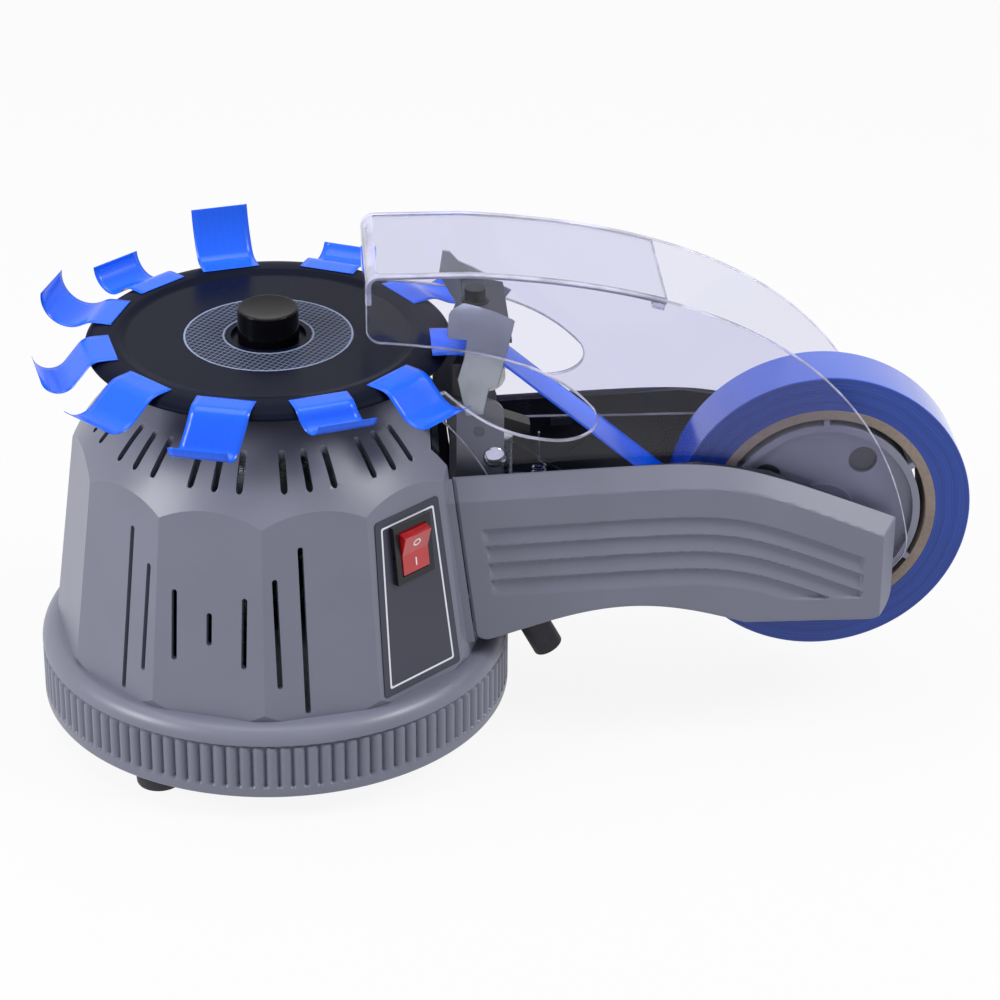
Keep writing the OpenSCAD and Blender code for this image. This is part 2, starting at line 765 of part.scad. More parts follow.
module cord_bushing() {
  color(black) cord_path()
    difference() {
      union() {
        translate([0, 0, 4])
          cylinder(h = bushing_len, r = bushing_r);
        translate([0, 0, -2])
          cylinder(h = 7, r = neck_r);
      }
      translate([0, 0, -8])
        cylinder(h = bushing_len + 20, r = 3);
    }
}

// Deck and drive inside the body
bush_r = 13;
bush_low_z = 95;
bush_top_z = 127;
flange_r = 20;
flange_t = 3.5;
module deck_plate() {
  color(steel) difference() {
    translate([0, 0, deck_z])
      cylinder(h = deck_t, r = deck_r);
    translate([0, 0, deck_z - eps])
      cylinder(h = deck_t + 2 * eps, r = bush_r + seat_gap);
    ring_of(post_count, post_ring_r, post_turn)
      translate([0, 0, deck_z - eps])
        cylinder(h = deck_t + 2 * eps, r = screw_r + seat_gap);
    ring_of(4, flange_r - 3.4, 0)
      translate([0, 0, deck_z - eps])
        cylinder(h = deck_t + 2 * eps, r = screw_r + seat_gap);
  }
}
module deck_posts() {
  color(steel) ring_of(post_count, post_ring_r, post_turn)
    difference() {
      translate([0, 0, plate_top_z])
        cylinder(h = deck_z - plate_top_z, r = post_r);
      translate([0, 0, deck_z - 12])
        cylinder(h = 13, r = screw_r + run_fit);
      translate([0, 0, plate_top_z - 1])
        cylinder(h = 13, r = screw_r + run_fit);
    }
}
module deck_screws() {
  color(steel) ring_of(post_count, post_ring_r, post_turn)
    translate([0, 0, deck_z + deck_t])
      screw_down(screw_r, deck_t + 8, head_r, head_h);
  color(steel) ring_of(post_count, post_ring_r, post_turn)
    translate([0, 0, foot_h])
      mirror([0, 0, 1])
        screw_down(screw_r, plate_t + 8, head_r, head_h);
}
module bearing_housing() {
  color(steel) difference() {
    union() {
      translate([0, 0, bush_low_z])
        cylinder(h = bush_top_z - bush_low_z, r = bush_r);
      translate([0, 0, deck_z + deck_t])
        cylinder(h = flange_t, r = flange_r);
    }
    translate([0, 0, bush_low_z - eps])
      cylinder(h = bush_top_z - bush_low_z + 2 * eps, r = spindle_r + run_fit);
    ring_of(4, flange_r - 3.4, 0)
      translate([0, 0, deck_z])
        cylinder(h = deck_t + flange_t + eps, r = screw_r + seat_gap);
  }
}
module bearing_screws() {
  color(steel) ring_of(4, flange_r - 3.4, 0)
    translate([0, 0, deck_z + deck_t + flange_t])
      screw_down(screw_r, deck_t + flange_t + 3, head_r, head_h);
}
collar_z = bush_top_z + pass_gap;
collar_t = 3;
spindle_top_z = rim_z - dish_d - 0.6;
spindle_low_z = 72;
module spindle() {
  color(steel) union() {
    translate([0, 0, spindle_low_z])
      cylinder(h = spindle_top_z - spindle_low_z, r = spindle_r);
    translate([0, 0, collar_z])
      cylinder(h = collar_t, r = spindle_r + 3.5);
  }
}
nut_h = 5;
module spindle_nut() {
  color(steel) difference() {
    translate([0, 0, gear_z - nut_h - seat_gap])
      cylinder(h = nut_h, r = spindle_r * 1.75, $fn = 6);
    translate([0, 0, gear_z - nut_h - 1])
      cylinder(h = nut_h + 2, r = spindle_r + run_fit);
  }
}
pressure_angle = 20;
function involute(a) = tan(a) * 180 / PI - a;
// Outline of a gear whose first tooth points along the given angle
function gear_outline(teeth, start) = let (
    pitch_r = gear_module * teeth / 2, base_r = pitch_r * cos(pressure_angle),
    tip_r = pitch_r + 0.9 * gear_module, root_r = pitch_r - 1.25 * gear_module,
    half = 90 / teeth - 0.06 * 180 / PI / pitch_r,
    radii = [root_r, max(base_r, root_r + 0.1), pitch_r, tip_r],
    widths = [for (r = radii) half + involute(pressure_angle) - involute(acos(min(1, base_r / r)))])
  [for (i = [0:teeth - 1], k = [0:7]) let (j = k < 4 ? k : 7 - k,
    w = start + 360 / teeth * i + (k < 4 ? -widths[j] : widths[j])) radii[j] * [cos(w), sin(w)]];
gear_hub_r = 9;
module drive_gear() {
  color([0.92, 0.92, 0.88]) difference() {
    union() {
      translate([0, 0, gear_z])
        linear_extrude(gear_w)
          polygon(gear_outline(gear_teeth, 180));
      translate([0, 0, gear_z])
        cylinder(h = bush_low_z - pass_gap - gear_z, r = gear_hub_r);
    }
    translate([0, 0, gear_z - eps])
      cylinder(h = bush_low_z - gear_z + 2 * eps, r = spindle_r + run_fit);
    ring_of(6, gear_module * gear_teeth / 2 * 0.62, 0)
      translate([0, 0, gear_z - eps])
        cylinder(h = gear_w + 2 * eps, r = 5);
  }
}
shaft_r = 3;
motor_top_z = 78;
motor_low_z = 22;
motor_r = 18.5;
motor_flat_t = 2.5;
module motor_pinion() {
  color(steel) translate([-gear_run, 0, 0])
    union() {
      translate([0, 0, gear_z])
        linear_extrude(gear_w)
          polygon(gear_outline(pinion_teeth, 180 / pinion_teeth));
      translate([0, 0, motor_top_z - 10])
        cylinder(h = gear_z - motor_top_z + 10 + eps, r = shaft_r);
    }
}
module gear_motor() {
  color([0.35, 0.36, 0.38]) translate([-gear_run, 0, 0])
    difference() {
      union() {
        translate([0, 0, motor_low_z + 30])
          cylinder(h = motor_top_z - motor_low_z - 30, r = motor_r);
        translate([0, 0, motor_low_z])
          cylinder(h = 30, r = motor_r - 1.2);
        translate([0, 0, motor_low_z - 3])
          cylinder(h = 3, r = 5);
        translate([0, 0, motor_top_z])
          cylinder(h = motor_flat_t, r = 6);
      }
      translate([0, 0, motor_top_z - 14])
        cylinder(h = 20, r = shaft_r + run_fit);
      ring_of(4, motor_r - 3.5, 45)
        translate([0, 0, motor_top_z - 6])
          cylinder(h = 7, r = screw_r + run_fit);
    }
}
bracket_back_x = gear_run + motor_r + 2;
bracket_half = 15;
module motor_bracket() {
  color(zinc) difference() {
    union() {
      translate([-bracket_back_x, -bracket_half, motor_top_z])
        cube([bracket_back_x - gear_run + motor_r, 2 * bracket_half, motor_flat_t]);
      translate([-bracket_back_x, -bracket_half, plate_top_z])
        cube([motor_flat_t / 2, 2 * bracket_half, motor_top_z - plate_top_z + eps]);
      translate([-bracket_back_x, -bracket_half, plate_top_z])
        cube([24, 2 * bracket_half, motor_flat_t]);
    }
    translate([-gear_run, 0, 0]) {
      translate([0, 0, motor_top_z - 1])
        cylinder(h = motor_flat_t + 2, r = 6 + seat_gap);
      ring_of(4, motor_r - 3.5, 45)
        translate([0, 0, motor_top_z - 1])
          cylinder(h = motor_flat_t + 2, r = screw_r + seat_gap);
    }
  }
}
module motor_screws() {
  color(steel) translate([-gear_run, 0, motor_top_z + motor_flat_t])
    ring_of(4, motor_r - 3.5, 45)
      screw_down(screw_r, motor_flat_t + 4, 2.6, 1.6);
}

// Electronics
board_low = [-20, 36];
board_size = [42, 26];
board_z = plate_top_z + 8;
board_t = 1.6;
module circuit_board() {
  color([0.1, 0.38, 0.2]) difference() {
    translate([board_low.x, board_low.y, board_z])
      cube([board_size.x, board_size.y, board_t]);
    for (x = [3, board_size.x - 3], y = [3, board_size.y - 3])
      translate([board_low.x + x, board_low.y + y, board_z - eps])
        cylinder(h = board_t + 2 * eps, r = screw_r);
  }
  color(black) translate([board_low.x + 7, board_low.y + 6, board_z + board_t - 0.1])
    cube([12, 10, 6]);
  color([0.2, 0.25, 0.6]) for (x = [25, 33])
    translate([board_low.x + x, board_low.y + 13, board_z + board_t - 0.1])
      cylinder(h = 11, r = 3.6);
}
module board_posts() {
  color(steel) for (x = [3, board_size.x - 3], y = [3, board_size.y - 3])
    translate([board_low.x + x, board_low.y + y, 0]) {
      translate([0, 0, plate_top_z])
        cylinder(h = board_z - plate_top_z, r = 2.6);
      translate([0, 0, board_z - 0.1])
        cylinder(h = board_t + 0.1, r = screw_r - seat_gap);
      translate([0, 0, board_z + board_t])
        cylinder(h = head_h, r = 2.4);
    }
}

// Carousel
boss_r = 14;
recess_r = 13.5;
recess_d = 1.6;
module carousel_disc() {
  dish_z = rim_z - dish_d;
  low_z = rim_z - disc_t;
  in_r = disc_r - rim_w;
  color(black) difference() {
    union() {
      rotate_extrude()
        polygon([[0, low_z], [disc_r - 2.5, low_z], [disc_r, low_z + 1.2], [disc_r, low_z + 2],
          [disc_r - 0.9, rim_z - 1.3], [in_r + 3, rim_z], [in_r, rim_z], [in_r - 4.6, dish_z], [0, dish_z]]);
      translate([0, 0, collar_z + collar_t])
        cylinder(h = low_z - collar_z - collar_t + eps, r = boss_r);
    }
    translate([0, 0, collar_z])
      cylinder(h = spindle_top_z - collar_z + seat_gap, r = spindle_r + run_fit);
    translate([0, 0, dish_z - recess_d])
      cylinder(h = recess_d + eps, r = recess_r);
    translate([0, 0, dish_z - mark_t])
      difference() {
        cylinder(h = mark_t + eps, r = mark_out_r + seat_gap);
        translate([0, 0, -eps])
          cylinder(h = mark_t + 3 * eps, r = mark_in_r - seat_gap);
      }
  }
}
module disc_mark() {
  color([0.13, 0.16, 0.28]) translate([0, 0, rim_z - dish_d - mark_t])
    difference() {
      cylinder(h = mark_t, r = mark_out_r);
      translate([0, 0, -eps])
        cylinder(h = mark_t + 2 * eps, r = mark_in_r);
    }
}
module disc_knob() {
  low_z = rim_z - dish_d - recess_d;
  edge = 1.2;
  color(black) difference() {
    rotate_extrude()
      polygon(concat([[0, low_z], [knob_r, low_z]],
        arc([knob_r - edge, knob_z - edge], edge, 0, 90, 5), [[0, knob_z]]));
    translate([0, 0, low_z - eps])
      cylinder(h = spindle_top_z - low_z + eps + seat_gap, r = spindle_r + run_fit);
  }
}
// Each strip: turn from the switch side, first slope, length to its curl, curl's sweep, curl's length
strips = [[46.8, -44, 11, 88, 15], [17.2, -80, 3, 165, 15], [-15.2, -62, 14, 160, 13], [-46.8, -36, 12, 86, 15],
  [-78.6, -50, 12, 128, 15], [-108.4, -40, 2, 140, 25], [-137, -44, 6, 130, 19], [-166.3, 54, 4, 24, 17],
  [157, -34, 7, 95, 13], [122, -30, 8, 92, 20]];
// A strip is narrower than its roll, because the pull draws it in
strip_w = tape_w - 1.8;
strip_hold = 7.3;
strip_steps = 26;
function ease(t) = let (u = max(0, min(1, t))) u * u * (3 - 2 * u);
function strip_path(s) = let (len_all = strip_hold + s[2] + s[4], ds = len_all / strip_steps,
    heading = function (d) s[1] * ease((d - strip_hold + 2) / 7)
      + s[3] * max(0, min(1, (d - strip_hold - s[2]) / s[4])))
  [for (i = 0, p = [disc_r - 2.2 - strip_hold, rim_z + strip_t / 2 + 0.05]; i <= strip_steps;
    p = p + ds * [cos(heading((i + 0.5) * ds)), sin(heading((i + 0.5) * ds))], i = i + 1) p];
module tape_strips() {
  color(tape_blue) for (s = strips)
    turned(s[0])
      rotate([0, 0, -90])
        along_y(-strip_w / 2, strip_w / 2)
          polygon(band(strip_path(s), strip_t));
}

// Cutter head
cheek_t = 1.5;
cheek_x = [66, 83];
cheek_top_z = 134;
cheek_corner_r = 6;
ear_x = bulkhead_x + bulkhead_t + pass_gap;
ear_low_z = 114;
head_floor_z = floor_z + floor_t;
head_fix = [79.5, 111.5];
roller_at = [77.4, 143.4];
roller_len = 2 * guide_in - 1;
bridge_from = [70, 161.5];
bridge_to = [85.5, 158];
bridge_t = 1.5;
solenoid_at = [84, -12.5];
solenoid_size = [16, 16, 34];
guide_fix = [71.5, 131];
// Face of the near cheek, rounded at its rear corner, and the ear of the far one towards the disc
module cheek_face() {
  hull() {
    translate([cheek_x[0], head_floor_z])
      square([cheek_x[1] - cheek_x[0], cheek_t]);
    translate([cheek_x[0], cheek_top_z - cheek_t])
      square(cheek_t);
    translate([cheek_x[1] - cheek_corner_r, cheek_top_z - cheek_corner_r])
      circle(cheek_corner_r);
  }
}
module ear_face() {
  polygon([[cheek_x[0] + eps, ear_low_z - (cheek_x[0] - ear_x) / 2], [cheek_x[0] + eps, cheek_top_z],
    [ear_x + cheek_t, cheek_top_z], [ear_x, cheek_top_z - cheek_t], [ear_x, ear_low_z]]);
}
module head_bracket() {
  color(zinc) difference() {
    union() {
      translate([cheek_x[0] - 2, -guide_in, head_floor_z])
        cube([36, 2 * guide_in, cheek_t]);
      along_y(-guide_in, -guide_in + cheek_t)
        cheek_face();
      along_y(guide_in - cheek_t, guide_in) {
        cheek_face();
        ear_face();
      }
    }
    pin_along_y(lever_x, lever_z, -head_half, head_half, pin_r + run_fit);
    pin_along_y(head_fix.x, head_fix.y, -head_half, head_half, screw_r + seat_gap);
    pin_along_y(guide_fix.x, guide_fix.y, -head_half, head_half, 1.2);
    cord_path()
      translate([0, 0, -12])
        cylinder(h = 24, r = neck_r + 0.6);
    translate([0, 0, head_floor_z - eps])
      for (x = bracket_fix_x, y = bracket_fix_y)
        translate([x, y, 0])
          cylinder(h = cheek_t + 2 * eps, r = screw_r + seat_gap);
  }
}
near_plate_outline = [[69, 129], [75.5, 129.5], [77.5, 139.5], [80.6, 139.5], [86.5, 165.5], [79.7, 168.8],
  [74.4, 170.8], [68.2, 172.4], [63.4, 169.4], [62.6, 160], [69.6, 159], [68.4, 150], [66.2, 143]];
far_plate_outline = [[69, 129], [75.5, 129.5], [77.5, 139.5], [80.6, 139.5], [86.8, 152], [88.6, 154.4],
  [75, 162.4], [69.4, 165], [66.2, 168.8], [63.6, 169.2], [62.4, 161], [68.4, 150], [66.2, 143]];
module guide_plate(outline) {
  difference() {
    along_y(-head_half, -guide_in)
      polygon(outline);
    pin_along_y(roller_at.x, roller_at.y, -head_half - eps, -guide_in + eps, pin_r + run_fit);
    pin_along_y(guide_fix.x, guide_fix.y, -head_half - eps, -guide_in + eps, 1.2);
    along_y(-head_half - eps, -guide_in + eps)
      polygon([bridge_from + [2, -bridge_t], bridge_to + [-2, -bridge_t], bridge_to + [-2, 0],
        bridge_from + [2, 0]]);
  }
}
module near_guide_plate() {
  color(zinc) guide_plate(near_plate_outline);
}
module far_guide_plate() {
  color(zinc) mirror([0, 1, 0]) guide_plate(far_plate_outline);
}
bridge_screw_x = 74;
function bridge_top(x) = bridge_from.y + (bridge_to.y - bridge_from.y) * (x - bridge_from.x)
  / (bridge_to.x - bridge_from.x);
module bridge_plate() {
  color([0.3, 0.31, 0.33]) difference() {
    union() {
      along_y(-guide_in + seat_gap, guide_in - seat_gap)
        polygon([bridge_from - [0, bridge_t], bridge_to - [0, bridge_t], bridge_to, bridge_from]);
      along_y(-head_half, head_half)
        polygon([bridge_from + [2 + seat_gap, -bridge_t + seat_gap], bridge_to + [-2 - seat_gap, -bridge_t + seat_gap],
          bridge_to + [-2 - seat_gap, -seat_gap], bridge_from + [2 + seat_gap, -seat_gap]]);
    }
    translate([bridge_screw_x, 0, bridge_top(bridge_screw_x) - 10])
      cylinder(h = 20, r = screw_r + seat_gap);
  }
}
module bridge_screw() {
  seat = bridge_top(bridge_screw_x - 5) + seat_gap;
  color(black) translate([bridge_screw_x, 0, seat])
    union() {
      cylinder(h = 1, r = 5);
      cylinder(h = 5.5, r = 4);
      translate([0, 0, -5])
        cylinder(h = 5.5, r = screw_r);
    }
}
module head_screws() {
  color(steel) for (side = [0, 1])
    mirror([0, side, 0]) {
      pin_along_y(head_fix.x, head_fix.y, -guide_in, -guide_in + 5, screw_r);
      translate([head_fix.x, -guide_in, head_fix.y])
        rotate([90, 0, 0])
          rotate_extrude()
            intersection() {
              translate([0, -4.6])
                circle(r = 6.2);
              square([4.2, 4]);
            }
    }
  color(steel) for (x = bracket_fix_x, y = bracket_fix_y)
    translate([x, y, head_floor_z + cheek_t])
      screw_down(screw_r, cheek_t + floor_t + 2, 2.8, 1.8);
}
module tape_roller() {
  color([0.85, 0.85, 0.8]) difference() {
    pin_along_y(roller_at.x, roller_at.y, -roller_len / 2, roller_len / 2, roller_r);
    pin_along_y(roller_at.x, roller_at.y, -guide_in, guide_in, pin_r + run_fit);
    for (i = [-4:4])
      translate([roller_at.x, i * 5.2, roller_at.y])
        rotate([90, 0, 0])
          rotate_extrude()
            translate([roller_r - 0.6, -0.7])
              square([2, 1.4]);
  }
}
module roller_pin() {
  color(steel) pin_along_y(roller_at.x, roller_at.y, -head_half, head_half, pin_r);
}
lever_half = 3.5;
lever_mid_y = solenoid_at.y;
block_top_z = 148.4;
block_low_z = 136;
block_right_x = 70.9;
block_clear = 3.3;
push_z = 116;
module cutter_lever() {
  color(black) difference() {
    union() {
      pin_along_y(lever_x, lever_z, lever_mid_y - 5, lever_mid_y + 5, pin_r + 3);
      along_y(lever_mid_y - lever_half, lever_mid_y + lever_half)
        polygon([[lever_x - 4.5, lever_z], [lever_x + 3, lever_z - 4], [solenoid_at.x + 9, push_z],
          [solenoid_at.x + 9, push_z + 3.5], [lever_x + 4, lever_z + 3], [block_right_x - 0.4, block_low_z + 2],
          [block_right_x - 4, block_low_z + 2]]);
      along_y(tape_near_y + 0.2, tape_far_y)
        polygon([[block_right_x - 8, block_low_z], [block_right_x, block_low_z], [block_right_x, block_top_z],
          [block_right_x - 8, block_top_z]]);
    }
    pin_along_y(lever_x, lever_z, -head_half, head_half, pin_r + run_fit);
    translate([0, 0, block_low_z - 3])
      cylinder(h = 30, r = disc_r + block_clear);
  }
}
module cutter_blade() {
  teeth = 14;
  pitch = (tape_w - 1) / teeth;
  color(steel) translate([block_right_x + 0.02, 0, 0])
    rotate([90, 0, 90])
      linear_extrude(0.4)
        polygon(concat([[tape_far_y - 0.5, block_low_z + 4], [tape_far_y - 0.5, block_top_z + 0.6]],
          [for (i = [0:teeth - 1], k = [0.5, 1]) [tape_far_y - 0.5 - pitch * (i + k),
            block_top_z + (k == 0.5 ? 2 : 0.6)]],
          [[tape_near_y + 0.5, block_low_z + 4]]));
}
module lever_pin() {
  color(steel) pin_along_y(lever_x, lever_z, -guide_in, guide_in, pin_r);
}
plunger_r = 3;
plunger_top_z = push_z - pass_gap - 1.6;
module solenoid() {
  low = head_floor_z + cheek_t;
  color([0.2, 0.3, 0.5]) difference() {
    translate([solenoid_at.x - solenoid_size.x / 2, solenoid_at.y - solenoid_size.y / 2, low])
      cube(solenoid_size);
    translate([solenoid_at.x, solenoid_at.y, low + 6])
      cylinder(h = solenoid_size.z, r = plunger_r + run_fit);
  }
}
module plunger() {
  low = head_floor_z + cheek_t + 8;
  color(steel) translate([solenoid_at.x, solenoid_at.y, low])
    cylinder(h = plunger_top_z - low, r = plunger_r);
}
// Return spring: one tube with straight ends and evenly spaced curls
spring_at = [96.5, solenoid_at.y];
spring_low_z = head_floor_z + cheek_t + seat_gap;
spring_top_z = push_z - 1.2;
curl_low_z = 80;
curl_pitch = 1.8;
rings_per_curl = 8;
wire_sides = 6;
curl_r = spring_r - wire_d / 2;
curl_high_z = curl_low_z + curl_pitch * spring_turns;
spring_line = concat([[0, 0, spring_low_z], [0, 0, curl_low_z - 2.4], [curl_r * 0.5, 0, curl_low_z - 1.2]],
  [for (i = [0:spring_turns * rings_per_curl]) let (w = 360 * i / rings_per_curl)
    [curl_r * cos(w), curl_r * sin(w), curl_low_z + curl_pitch * i / rings_per_curl]],
  [[curl_r * 0.5, 0, curl_high_z + 1.2], [0, 0, curl_high_z + 2.4], [0, 0, spring_top_z]]);
function tube_ring(line, i) = let (last = len(line) - 1,
    along = unit(line[min(i + 1, last)] - line[max(i - 1, 0)]),
    side = unit(cross(along, [0.31, 0.95, 0.05])), up = cross(along, side))
  [for (k = [0:wire_sides - 1]) line[i] + wire_d / 2 * (cos(60 * k) * side + sin(60 * k) * up)];
spring_gap = min([for (i = [0:len(spring_line) - 1], j = [i + rings_per_curl - 2:len(spring_line) - 1])
  if (j > i + 5) norm(spring_line[i] - spring_line[j])]) - wire_d;
echo("least gap between the curls", spring_gap);
module return_spring() {
  count = len(spring_line);
  faces = concat([[for (k = [wire_sides - 1:-1:0]) k]],
    [for (i = [0:count - 2], k = [0:wire_sides - 1], half = [0, 1])
      let (a = i * wire_sides + k, b = i * wire_sides + (k + 1) % wire_sides)
        half == 0 ? [a, b, b + wire_sides] : [a, b + wire_sides, a + wire_sides]],
    [[for (k = [0:wire_sides - 1]) (count - 1) * wire_sides + k]]);
  color(steel) translate([spring_at.x, spring_at.y, 0])
    polyhedron([for (i = [0:count - 1]) each tube_ring(spring_line, i)], faces);
}

// Roll
hub_r = core_r - 2.1;
hub_face_d = 3;
hub_face_t = 3;
hub_hole_floor = 0.8;
hub_hole_ring_r = 25;
module roll_axle() {
  color(steel) pin_along_y(roll_x, roll_z, -wall_out_y, wall_out_y, axle_r);
}
module roll_hub() {
  half = hub_len / 2;
  color(plastic_grey) translate([roll_x, 0, roll_z])
    rotate([90, 0, 0])
      difference() {
        union() {
          difference() {
            translate([0, 0, -half])
              cylinder(h = hub_len, r = hub_r);
            translate([0, 0, half - hub_face_d])
              cylinder(h = hub_face_d + eps, r = hub_r - hub_wall);
            translate([0, 0, -half - eps])
              cylinder(h = hub_len - hub_face_d - hub_face_t + eps, r = hub_r - hub_wall);
          }
          translate([0, 0, -half])
            cylinder(h = hub_len, r = axle_r + 4);
          translate([0, 0, half - hub_face_d - eps])
            cylinder(h = hub_face_d, r = axle_r + 7);
          for (i = [0:5])
            rotate([0, 0, 60 * i + 30])
              translate([hub_r - 1, -1, -half])
                cube([core_r - seat_gap - hub_r + 1, 2, hub_len]);
        }
        translate([0, 0, -half - eps])
          cylinder(h = hub_len + 2 * eps, r = axle_r + run_fit);
        for (i = [0:3])
          rotate([0, 0, 90 * i + 55])
            translate([hub_hole_ring_r, 0, half - hub_face_d - hub_face_t + hub_hole_floor])
              cylinder(h = hub_len, r = hub_hole_r);
      }
}
module tape_ring(in_r, out_r) {
  translate([roll_x, tape_far_y, roll_z])
    rotate([90, 0, 0])
      difference() {
        cylinder(h = tape_w, r = out_r, $fn = 144);
        translate([0, 0, -eps])
          cylinder(h = tape_w + 2 * eps, r = in_r, $fn = 144);
      }
}
module tape_core() {
  color([0.68, 0.56, 0.4]) tape_ring(core_r, core_r + core_wall);
}
module tape_roll() {
  color(tape_blue) tape_ring(core_r + core_wall, tape_r);
}
run_t = 0.4;
peel_angle = 171;
module tape_run() {
  peel = [roll_x, roll_z] + (tape_r + run_t / 2 + seat_gap) * [cos(peel_angle), sin(peel_angle)];
  wrap_r = roller_r + pass_gap + run_t / 2;
  incoming = unit(roller_at - peel);
  reach = norm(roller_at - peel);
  dip = asin(wrap_r / reach);
  in_angle = atan2(incoming.y, incoming.x) - 90 - dip;
  out_angle = 78;
  leave = roller_at + wrap_r * [cos(out_angle), sin(out_angle)];
  line = concat([peel], arc(roller_at, wrap_r, in_angle, out_angle, 4),
    [[disc_r + 1, rim_z + pass_gap + run_t / 2], [disc_r - rim_w + 2.5, rim_z + pass_gap + run_t / 2]]);
  color(tape_blue) along_y(tape_near_y, tape_far_y)
    polygon(band(line, run_t));
}

// Guard
// Point of the guard at a depth below its roof
function below(x, depth) = [x, guard_top_z - depth];
guard_curve = bezier(below(70, 0), below(135, 4.6), below(216, 22.6), [pivot_x + 10, pivot_z + 3], 18);
roof_corner_r = 5;
tail_r = 10;
notch_tip = below(114.5, 53.6);
notch_foot = below(98, 65);
tongue_tip = below(61.8, 45.2);
notch_top = bezier(below(guard_front_x + 7, 26.2), below(75, 29.6), below(98, 34.6), notch_tip, 8);
notch_end = bezier(notch_tip, below(119, 61.1), below(110, 67), notch_foot, 6);
notch_low = bezier(notch_foot, below(84, 63), below(74, 57.6), tongue_tip, 6);
tongue = bezier(below(57.8, 54.6), below(63, 59), below(71, 67.6), [79, guard_low_z], 6);
function rest_of(line) = [for (i = [1:len(line) - 1]) line[i]];
side_outline = concat(
  arc(below(guard_front_x + roof_corner_r, roof_corner_r), roof_corner_r, 180, 90, 5),
  guard_curve,
  arc([pivot_x, pivot_z], tail_r, 0, -205, 12),
  [[roll_x + 8.4, roll_z + 2.2]],
  arc([roll_x, roll_z], axle_r + 3.4, 45, 115, 3),
  [[roll_x - 18, guard_low_z], [79, guard_low_z]],
  reversed(tongue), [below(58.8, 46.2), tongue_tip],
  rest_of(reversed(notch_low)), rest_of(reversed(notch_end)), rest_of(reversed(notch_top)),
  arc(below(guard_front_x + 6, 20.2), 6, -90, -170, 4));
module guard_side() {
  difference() {
    along_y(-guard_half, -guard_in)
      polygon(side_outline);
    pin_along_y(pivot_x, pivot_z, -guard_half - eps, -guard_in + eps, pivot_r + run_fit);
  }
}
module guard_near_side() {
  color(clear) guard_side();
}
module guard_far_side() {
  color(clear) mirror([0, 1, 0]) guard_side();
}
front_wall_z = guard_top_z - 11.6;
module guard_roof() {
  roof = concat([[guard_front_x + guard_t / 2, front_wall_z]],
    arc([guard_front_x + roof_corner_r, guard_top_z - roof_corner_r], roof_corner_r - guard_t / 2, 180, 90, 5),
    [for (p = guard_curve) if (p.x < guard_roof_x) p - [0, guard_t / 2]]);
  color(clear) along_y(-guard_in, guard_in)
    polygon(band(roof, guard_t));
}
module guard_pins() {
  color(steel) for (side = [0, 1])
    mirror([0, side, 0]) {
      pin_along_y(pivot_x, pivot_z, -wall_out_y, -guard_in + 0.4, pivot_r);
      pin_along_y(pivot_x, pivot_z, -guard_in + 0.4, -guard_in + 1.2, pivot_r + 1.5);
    }
}

base_ring();
base_plate();
base_screws();
feet();
foot_screws();
body_shell();
shell_screws();
switch_label();
switch_housing();
rocker();
near_arm_cover();
far_arm_cover();
near_arm_wall();
far_arm_wall();
arm_floor();
cover_screws();
floor_screws();
cord_bushing();
deck_plate();
deck_posts();
deck_screws();
bearing_housing();
bearing_screws();
spindle();
spindle_nut();
drive_gear();
carousel_disc();
disc_mark();
disc_knob();
tape_strips();
gear_motor();
motor_bracket();
motor_screws();
motor_pinion();
circuit_board();
board_posts();
head_bracket();
near_guide_plate();
far_guide_plate();
bridge_plate();
bridge_screw();
head_screws();
tape_roller();
roller_pin();
cutter_lever();
cutter_blade();
lever_pin();
return_spring();
solenoid();
plunger();
roll_axle();
roll_hub();
tape_core();
tape_roll();
tape_run();
guard_near_side();
guard_far_side();
guard_roof();
guard_pins();
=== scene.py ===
"""Dresses an electric tape dispenser: turning disc, forked arm, clear guard and roll of tape.

Sizes are in millimetres and angles in degrees, unless a docstring says otherwise.
"""

import json
import logging
import math
from dataclasses import dataclass
from enum import Enum
from typing import Iterable, Sequence, Union

import bmesh
import bpy
import numpy as np
from mathutils import Matrix

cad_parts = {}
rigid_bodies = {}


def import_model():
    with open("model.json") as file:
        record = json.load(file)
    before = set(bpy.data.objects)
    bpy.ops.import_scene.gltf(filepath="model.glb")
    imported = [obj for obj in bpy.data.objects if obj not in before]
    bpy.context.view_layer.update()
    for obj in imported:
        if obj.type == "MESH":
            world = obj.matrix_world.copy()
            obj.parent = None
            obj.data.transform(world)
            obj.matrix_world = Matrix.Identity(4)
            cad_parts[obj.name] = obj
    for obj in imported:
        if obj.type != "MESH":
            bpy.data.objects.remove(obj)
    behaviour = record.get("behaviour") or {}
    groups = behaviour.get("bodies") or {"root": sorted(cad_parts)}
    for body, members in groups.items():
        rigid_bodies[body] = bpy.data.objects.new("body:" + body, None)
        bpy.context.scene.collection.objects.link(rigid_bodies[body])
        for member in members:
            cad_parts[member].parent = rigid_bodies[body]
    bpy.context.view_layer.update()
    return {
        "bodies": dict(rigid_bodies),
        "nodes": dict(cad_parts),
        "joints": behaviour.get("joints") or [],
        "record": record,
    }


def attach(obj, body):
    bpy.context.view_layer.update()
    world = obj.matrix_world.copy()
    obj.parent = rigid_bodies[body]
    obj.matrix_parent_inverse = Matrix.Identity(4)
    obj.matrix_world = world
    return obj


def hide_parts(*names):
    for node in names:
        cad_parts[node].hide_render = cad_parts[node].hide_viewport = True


LOG = logging.getLogger("tape_dispenser")
MM = 0.001
SAME_SPOT = 2e-6  # in metres: points nearer than this are one
AXLE = (199.0, 85.0)  # the roll's axle, in x and z
WHITE_LIGHT = (1.0, 1.0, 1.0)
FILM_CHART = 25.0  # millimetres for each unit of a film's chart
CLOUD_SCALE, CLOUD_DETAIL = 38.0, 4.0  # the flow clouds of a moulding
CLOUD_ENDS = (0.3, 0.7)
